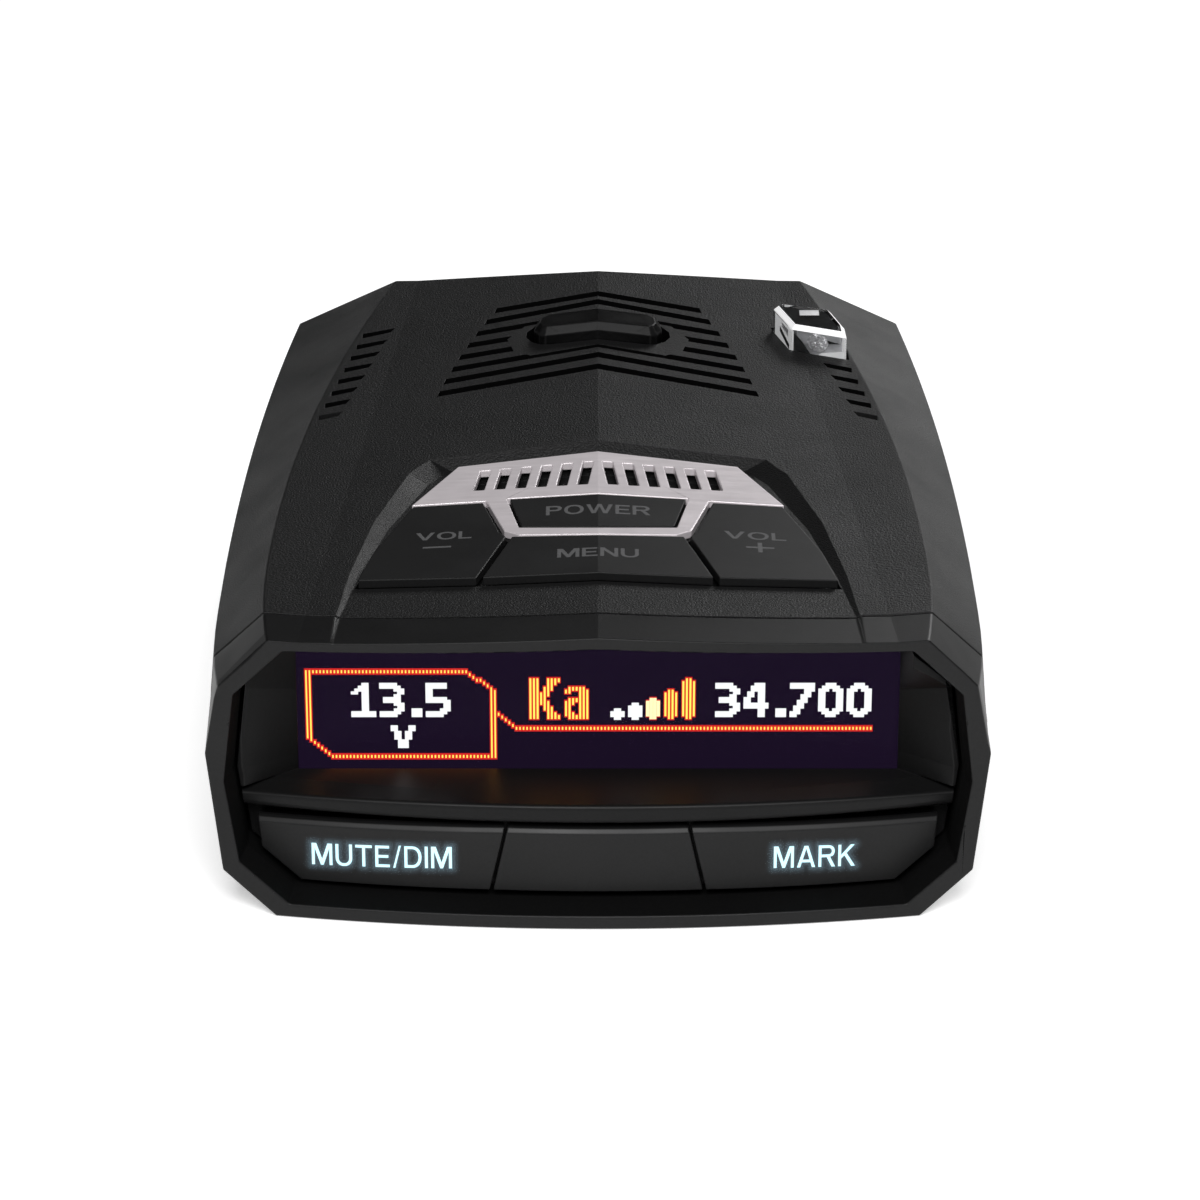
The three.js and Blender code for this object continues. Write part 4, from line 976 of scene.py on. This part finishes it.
def text_outlines(text, width, height):
    """Closed outlines of a line of capitals that spans width and height around the origin."""
    reach, placed = 0.0, []
    for name in text:
        advance, outlines = LETTERS[name]
        placed += [[(reach + x, y) for x, y in outline] for outline in outlines]
        reach += advance + LETTER_GAP
    reach -= LETTER_GAP
    return [[((x / reach - 0.5) * width, (y - 0.5) * height) for x, y in outline] for outline in placed]


def lettering(text, width, height, bold):
    """Flat capitals as a mesh 0.02 thick; bold is how far each stroke grows sideways."""
    curve = bpy.data.curves.new("lettering", "CURVE")
    curve.dimensions = "2D"
    curve.fill_mode = "BOTH"
    curve.extrude = 0.01
    curve.offset = bold
    for outline in text_outlines(text, width, height):
        spline = curve.splines.new("POLY")
        spline.points.add(len(outline) - 1)
        for point, (x, y) in zip(spline.points, outline):
            point.co = (x, y, 0, 1)
        spline.use_cyclic_u = True
    source = linked("lettering", curve)
    graph = bpy.context.evaluated_depsgraph_get()
    mesh = bpy.data.meshes.new_from_object(source.evaluated_get(graph))
    bpy.data.objects.remove(source)
    reshape(mesh, lambda shape: bmesh.ops.remove_doubles(shape, verts=shape.verts, dist=0.001))
    return mesh


def split_at(mesh, x):
    """Divides the faces that cross a plane, so that lettering can bend at the ridge."""
    def divide(shape):
        everything = shape.verts[:] + shape.edges[:] + shape.faces[:]
        bmesh.ops.bisect_plane(shape, geom=everything, plane_co=(x, 0, 0), plane_no=(1, 0, 0))

    reshape(mesh, divide)


def flat_piece(name, mesh, made, body, slot):
    finished(linked(name, mesh), name, made, body, slot, sharp=30)


def roof_legend(name, text, centre, size, body):
    """Printed lettering that follows the key tops."""
    mesh = lettering(text, *size, ROOF_BOLD)
    split_at(mesh, -centre[0])
    for vertex in mesh.vertices:
        x, y = centre[0] + vertex.co.x, centre[1] + vertex.co.y
        lift = 0.004 if vertex.co.z > 0 else -0.02
        vertex.co = (x, y, roof_height(x, y, KEY_HEIGHT + lift, RECESS_FALL))
    flat_piece(name, mesh, LEGEND, body, "key_plastic")


def on_front_key(centre, x, y, lift):
    """A point of a legend laid on the bowed face of the front keys."""
    x += centre[0]
    return x, LIP_Y + KEY_BOW * x * x - lift, centre[1] + y - 0.045 * (abs(x) - abs(centre[0]))


def front_legend(name, text, centre, size, body):
    mesh = lettering(text, *size, FRONT_THIN)
    for vertex in mesh.vertices:
        x, y, z = vertex.co
        vertex.co = on_front_key(centre, x, y, 0.03 if z > 0 else -0.03)
    flat_piece(name, mesh, LEGEND_GLOW, body, "front_key_plastic")


def legend_halo(name, text, centre, size, body):
    """A film over a front key whose glow fades away from the letters."""
    near = []
    for outline in text_outlines(text, *size):
        for (x0, y0), (x1, y1) in zip(outline, outline[1:] + outline[:1]):
            steps = math.ceil(math.hypot(x1 - x0, y1 - y0) / GLOW_SAMPLE)
            near += [(x0 + (x1 - x0) * k / steps, y0 + (y1 - y0) * k / steps) for k in range(steps)]
    tree = KDTree(len(near))
    for index, (x, y) in enumerate(near):
        tree.insert((x, y, 0), index)
    tree.balance()
    columns, rows = [round((side + 2 * GLOW_REACH) / GLOW_CELL) for side in size]
    points, shares = [], []
    for row in range(rows + 1):
        for column in range(columns + 1):
            x, y = (column - columns / 2) * GLOW_CELL, (row - rows / 2) * GLOW_CELL
            points.append(on_front_key(centre, x, y, 0.012))
            distance = tree.find((x, y, 0))[2]
            shares.append(GLOW_SHARE * max(0.0, 1 - distance / GLOW_REACH) ** 2)
    corners = [row * (columns + 1) + column for row in range(rows) for column in range(columns)]
    faces = [(c, c + 1, c + columns + 2, c + columns + 1) for c in corners]
    mesh = bpy.data.meshes.new(name)
    mesh.from_pydata(points, [], faces)
    mesh.attributes.new("glow", "FLOAT", "POINT").data.foreach_set("value", shares)
    film = linked(name, mesh)
    thickness = film.modifiers.new("thickness", "SOLIDIFY")
    thickness.thickness = 0.03
    bake(film)
    finished(film, name, LEGEND_HALO, body, "front_key_plastic", sharp=30)


# ---- Display -------------------------------------------------------------------------
# The display's own pixels are counted in columns from the middle and rows from the bottom.
COLUMN, ROW = 0.353, 0.311
PIXEL_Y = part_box("oled_module")[0].y / MM
PIXEL_BASE, PIXEL_THICK = SHELF_Z - 0.56, 0.02
FIGURE_ADVANCE, POINT_ADVANCE, BAR_ROW = 8, 5, 17

# The rows of each character from the top; a number says how often a row is repeated.
GLYPHS = {
    "0": "..XXX.. .XXXXX. XXX.XXX XX...XX*6 XXX.XXX .XXXXX. ..XXX..",
    "1": "...XX.. ..XXX.. .XXXX.. XX.XX.. ...XX..*6 XXXXXXX*2",
    "3": "XXXXX.. XXXXXX. ....XXX .....XX ....XX. .XXXXX.*2 ....XXX .....XX ....XXX XXXXXX. XXXXX..",
    "4": "...XXX. ..XXXX.*2 .XX.XX.*2 XX..XX.*2 XXXXXXX*2 ....XX.*3",
    "5": "XXXXXX.*2 XX.....*3 XXXXXX. XXXXXXX .....XX*2 ....XXX XXXXXX. XXXXX..",
    "7": "XXXXXXX*2 ....XXX ....XX. ...XXX. ...XX.. ..XXX.. ..XX... .XXX... .XX.... XXX.... XX.....",
    ".": "XXX*3",
    "v": "XX...XX*2 .XX.XX.*3 ..XXX..*3",
    "K": "XXX..XXXX*2 XXX..XXX. XXX.XXX..*2 XXXXXX...*2 "
    "XXXXX.... XXXXXX...*2 XXX.XXX..*2 XXX..XXX. XXX..XXXX*2",
    "a": ".XXXXX. XXXXXXX XX..XXX ....XXX .XXXXXX XXXXXXX XXX.XXX XX..XXX*2 XXX.XXX XXXXXXX .XXXXXX",
}


def glyph_pixels(character, column, row):
    """The lit (column, row) pairs of a glyph whose bottom left pixel is at column, row."""
    rows, lit = [], set()
    for entry in GLYPHS[character].split():
        marks, _, count = entry.partition("*")
        rows += [marks] * int(count or 1)
    for down, line in enumerate(rows):
        for right, mark in enumerate(line):
            if mark == "X":
                lit.add((column + right, row + len(rows) - 1 - down))
    return lit


def line_pixels(points):
    """A polyline two pixels high on level and slanted runs and two wide on upright ones."""
    lit = set()
    for (c0, r0), (c1, r1) in zip(points, points[1:]):
        steps = max(abs(c1 - c0), abs(r1 - r0), 1)
        for i in range(steps + 1):
            column = round(c0 + (c1 - c0) * i / steps)
            row = round(r0 + (r1 - r0) * i / steps)
            for extra in (0, 1):
                lit.add((column + extra, row) if c0 == c1 else (column, row + extra))
    return lit


def runs(lit):
    """Vertical runs of lit pixels as (column, first row, last row)."""
    found = []
    for column, row in sorted(lit):
        if found and found[-1][0] == column and found[-1][2] == row - 1:
            found[-1] = (column, found[-1][1], row)
        else:
            found.append((column, row, row))
    return found


def pixel_mesh(name, lit, width, made, depth, trim=0.0):
    """One thin box for each vertical run; width is a share of the column."""
    shape = bmesh.new()
    for column, first, last in runs(lit):
        middle = column * COLUMN
        x0, x1 = middle - COLUMN * width / 2, middle + COLUMN * width / 2
        z0, z1 = PIXEL_BASE + (first + trim) * ROW, PIXEL_BASE + (last + 1 - trim) * ROW
        place = Matrix.Translation(((x0 + x1) / 2, PIXEL_Y - depth, (z0 + z1) / 2))
        size = Matrix.Diagonal((x1 - x0, PIXEL_THICK, z1 - z0, 1))
        bmesh.ops.create_cube(shape, size=1, matrix=place @ size)
    mesh = bpy.data.meshes.new(name)
    shape.to_mesh(mesh)
    shape.free()
    flat_piece(name, mesh, made, "case", "display_panel")


def bar_pixels(column, height):
    """A signal bar with rounded ends."""
    lit = {(column + c, BAR_ROW + r) for c in range(4) for r in range(height)}
    return lit - {(column + c, BAR_ROW + r) for c in (0, 3) for r in (0, height - 1)}


def text_pixels(text, column, row):
    lit = set()
    for character in text:
        point = character == "."
        lit |= glyph_pixels(character, column + 1 if point else column, row)
        column += POINT_ADVANCE if point else FIGURE_ADVANCE
    return lit


def display():
    """A voltage, a band with its signal bars and a frequency, as on any detector of this kind."""
    white = text_pixels("13.5", -69, 18) | glyph_pixels("v", -58, 7) | text_pixels("34.700", 33.5, 18)
    white |= bar_pixels(4, 4) | bar_pixels(9, 6)
    pale = bar_pixels(14, 8)
    outline = [(-82, 33), (-37, 33), (-30, 27), (-30, 3), (-75, 3), (-82, 10), (-82, 34)]
    lines = line_pixels(outline) | line_pixels([(-29, 19), (-23, 13), (77, 13)])
    orange = glyph_pixels("K", -19, 17) | glyph_pixels("a", -9, 17)
    orange |= bar_pixels(19, 11) | bar_pixels(24, 15)
    pixel_mesh("pixels_white", white, 1.04, PIXEL_WHITE, 0.02, -0.04)
    pixel_mesh("pixels_red", lines | orange | pale, 1.08, PIXEL_RED, 0.02, -0.12)
    pixel_mesh("pixels_yellow_lines", lines, 0.42, PIXEL_YELLOW, 0.05, 0.5)
    pixel_mesh("pixels_yellow", orange, 0.54, PIXEL_YELLOW, 0.05, 0.35)
    pixel_mesh("pixels_pale", pale, 0.96, PIXEL_PALE, 0.05, 0.25)


# ---- Camera, floor and lights --------------------------------------------------------
CAMERA_PLACE, CAMERA_FALL = (0, -0.45334, 0.21389), 24
CAMERA_LENS, CAMERA_SHIFT = 138, 0.0017
FLOOR_HALF, FLOOR_DROP = 3.0, 0.0001


def camera():
    """A long lens above the front that looks down by CAMERA_FALL degrees."""
    data = bpy.data.cameras.new("camera")
    data.sensor_width = 36
    data.lens = CAMERA_LENS
    data.shift_x = CAMERA_SHIFT
    data.clip_start, data.clip_end = 0.05, 20
    obj = linked("camera", data)
    obj.location = CAMERA_PLACE
    fall = math.radians(CAMERA_FALL)
    ahead = Vector((0, math.cos(fall), -math.sin(fall)))
    obj.rotation_euler = ahead.to_track_quat("-Z", "Y").to_euler()
    bpy.context.scene.camera = obj


def floor():
    """A matt pale floor with some light of its own, just below the object."""
    mesh = bpy.data.meshes.new("floor")
    signs = ((-1, -1), (1, -1), (1, 1), (-1, 1))
    mesh.from_pydata([(x * FLOOR_HALF, y * FLOOR_HALF, 0) for x, y in signs], [], [(0, 1, 2, 3)])
    obj = linked("floor", mesh)
    obj.location.z = -FLOOR_DROP
    mesh.materials.append(shining(material("pale_floor", (0.9, 0.9, 0.9), 0.9, **NO_GLOSS), 0.5))


def softbox(name, place, target, size, power):
    data = bpy.data.lights.new(name, "AREA")
    data.shape = "RECTANGLE"
    data.size, data.size_y = size
    data.energy = power
    obj = linked(name, data)
    obj.location = place
    obj.rotation_euler = (Vector(target) - Vector(place)).to_track_quat("-Z", "Y").to_euler()


def lights():
    softbox("rear_right", (0.42, 0.85, 0.5), (0, 0, 0.02), (0.45, 0.35), 3.3)
    softbox("front_top", (0.0, -0.8, 0.9), (0, 0, 0.01), (0.6, 0.6), 14)
    world = bpy.data.worlds.new("studio")
    world.use_nodes = True
    background = world.node_tree.nodes["Background"]
    background.inputs["Color"].default_value = (1, 1, 1, 1)
    background.inputs["Strength"].default_value = 0.01
    bpy.context.scene.world = world
    bpy.context.scene.view_settings.view_transform = "Standard"


# ---- Assembly ------------------------------------------------------------------------
camera()
floor()
lights()

top_cover()
bottom_cover()
front_bezel()
display_shroud()
trim_plate()
laser_lens()
lens_parts()
display()

roof_legends = (
    ("power", "POWER", (0, -19.9), (10.6, 2.55), "power"),
    ("menu", "MENU", (0, -32.0), (8.1, 2.3), "menu"),
    ("volume_down", "VOL", (-15.6, -25.6), (5.6, 2.0), "volume_down"),
    ("minus", "-", (-16.2, -28.7), (2.8, 0.35), "volume_down"),
    ("volume_up", "VOL", (15.9, -25.6), (6.2, 2.0), "volume_up"),
    ("plus", "+", (16.3, -28.8), (2.8, 2.6), "volume_up"),
)
for name, text, centre, size, key in roof_legends:
    roof_legend(f"{name}_legend", text, centre, size, f"{key}_button")
front_legends = (("mute_dim", "MUTE/DIM", (-21.4, 5.7), 14.0), ("mark", "MARK", (21.4, 5.7), 8.1))
for key, text, centre, width in front_legends:
    body = f"{key}_button"
    front_legend(f"{key}_legend", text, centre, (width, 2.4), body)
    legend_halo(f"{key}_halo", text, centre, (width, 2.4), body)

front_key("mute_dim_key", [(-x, z) for x, z in SIDE_KEY], (-21.5,), "mute_dim_button")
front_key("mark_key", SIDE_KEY, (21.5,), "mark_button")
front_key("centre_panel", mirrored(CENTRE_PANEL), (-4, 4), "case")
release_button()

KEY_NAMES = ("power", "menu", "volume_down", "volume_up", "mute_dim", "mark")
LOOKS = (
    (KEY, 0.1, [f"{key}_key" for key in KEY_NAMES[:4]]),
    (BUTTON_PAINT, 0.14, ["mount_release_button"]),
    (LINER, 0.1, ["mount_slot_liner"]),
    (SPRING, 0, ["release_spring"]),
    (WINDOW, 0, ["display_window"]),
    (PANEL_GLOW, 0, ["oled_module"]),
    (BOARD, 0, ["display_board", "main_board", "key_board"]),
    (RIBBON, 0, ["display_ribbon", "key_ribbon"]),
    (CAST, 0.1, ["horn_antenna"]),
    (PATCH, 0.15, ["gps_patch"]),
    (INFRARED, 0.1, ["front_laser_window"]),
    (SENSOR, 0.1, ["front_laser_sensor", "rear_laser_sensor"]),
    (TIN, 0.06, ["rf_shield_can", "speaker_frame", "usb_socket"]),
    (CONE, 0, ["speaker_cone"]),
    (MAGNET, 0.15, ["speaker_magnet"]),
    (SOCKET, 0.08, ["power_socket", "audio_jack"]),
    (SWITCH, 0.08, [f"{key}_switch" for key in KEY_NAMES]),
    (PLUNGER, 0.08, [f"{key}_plunger" for key in KEY_NAMES]),
    (SCREW, 0.06, [f"case_screw_{index}" for index in range(1, 5)]),
)
for made, edge, nodes in LOOKS:
    for node in nodes:
        dressed(node, made, edge)

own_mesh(bpy.data.objects["release_spring"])
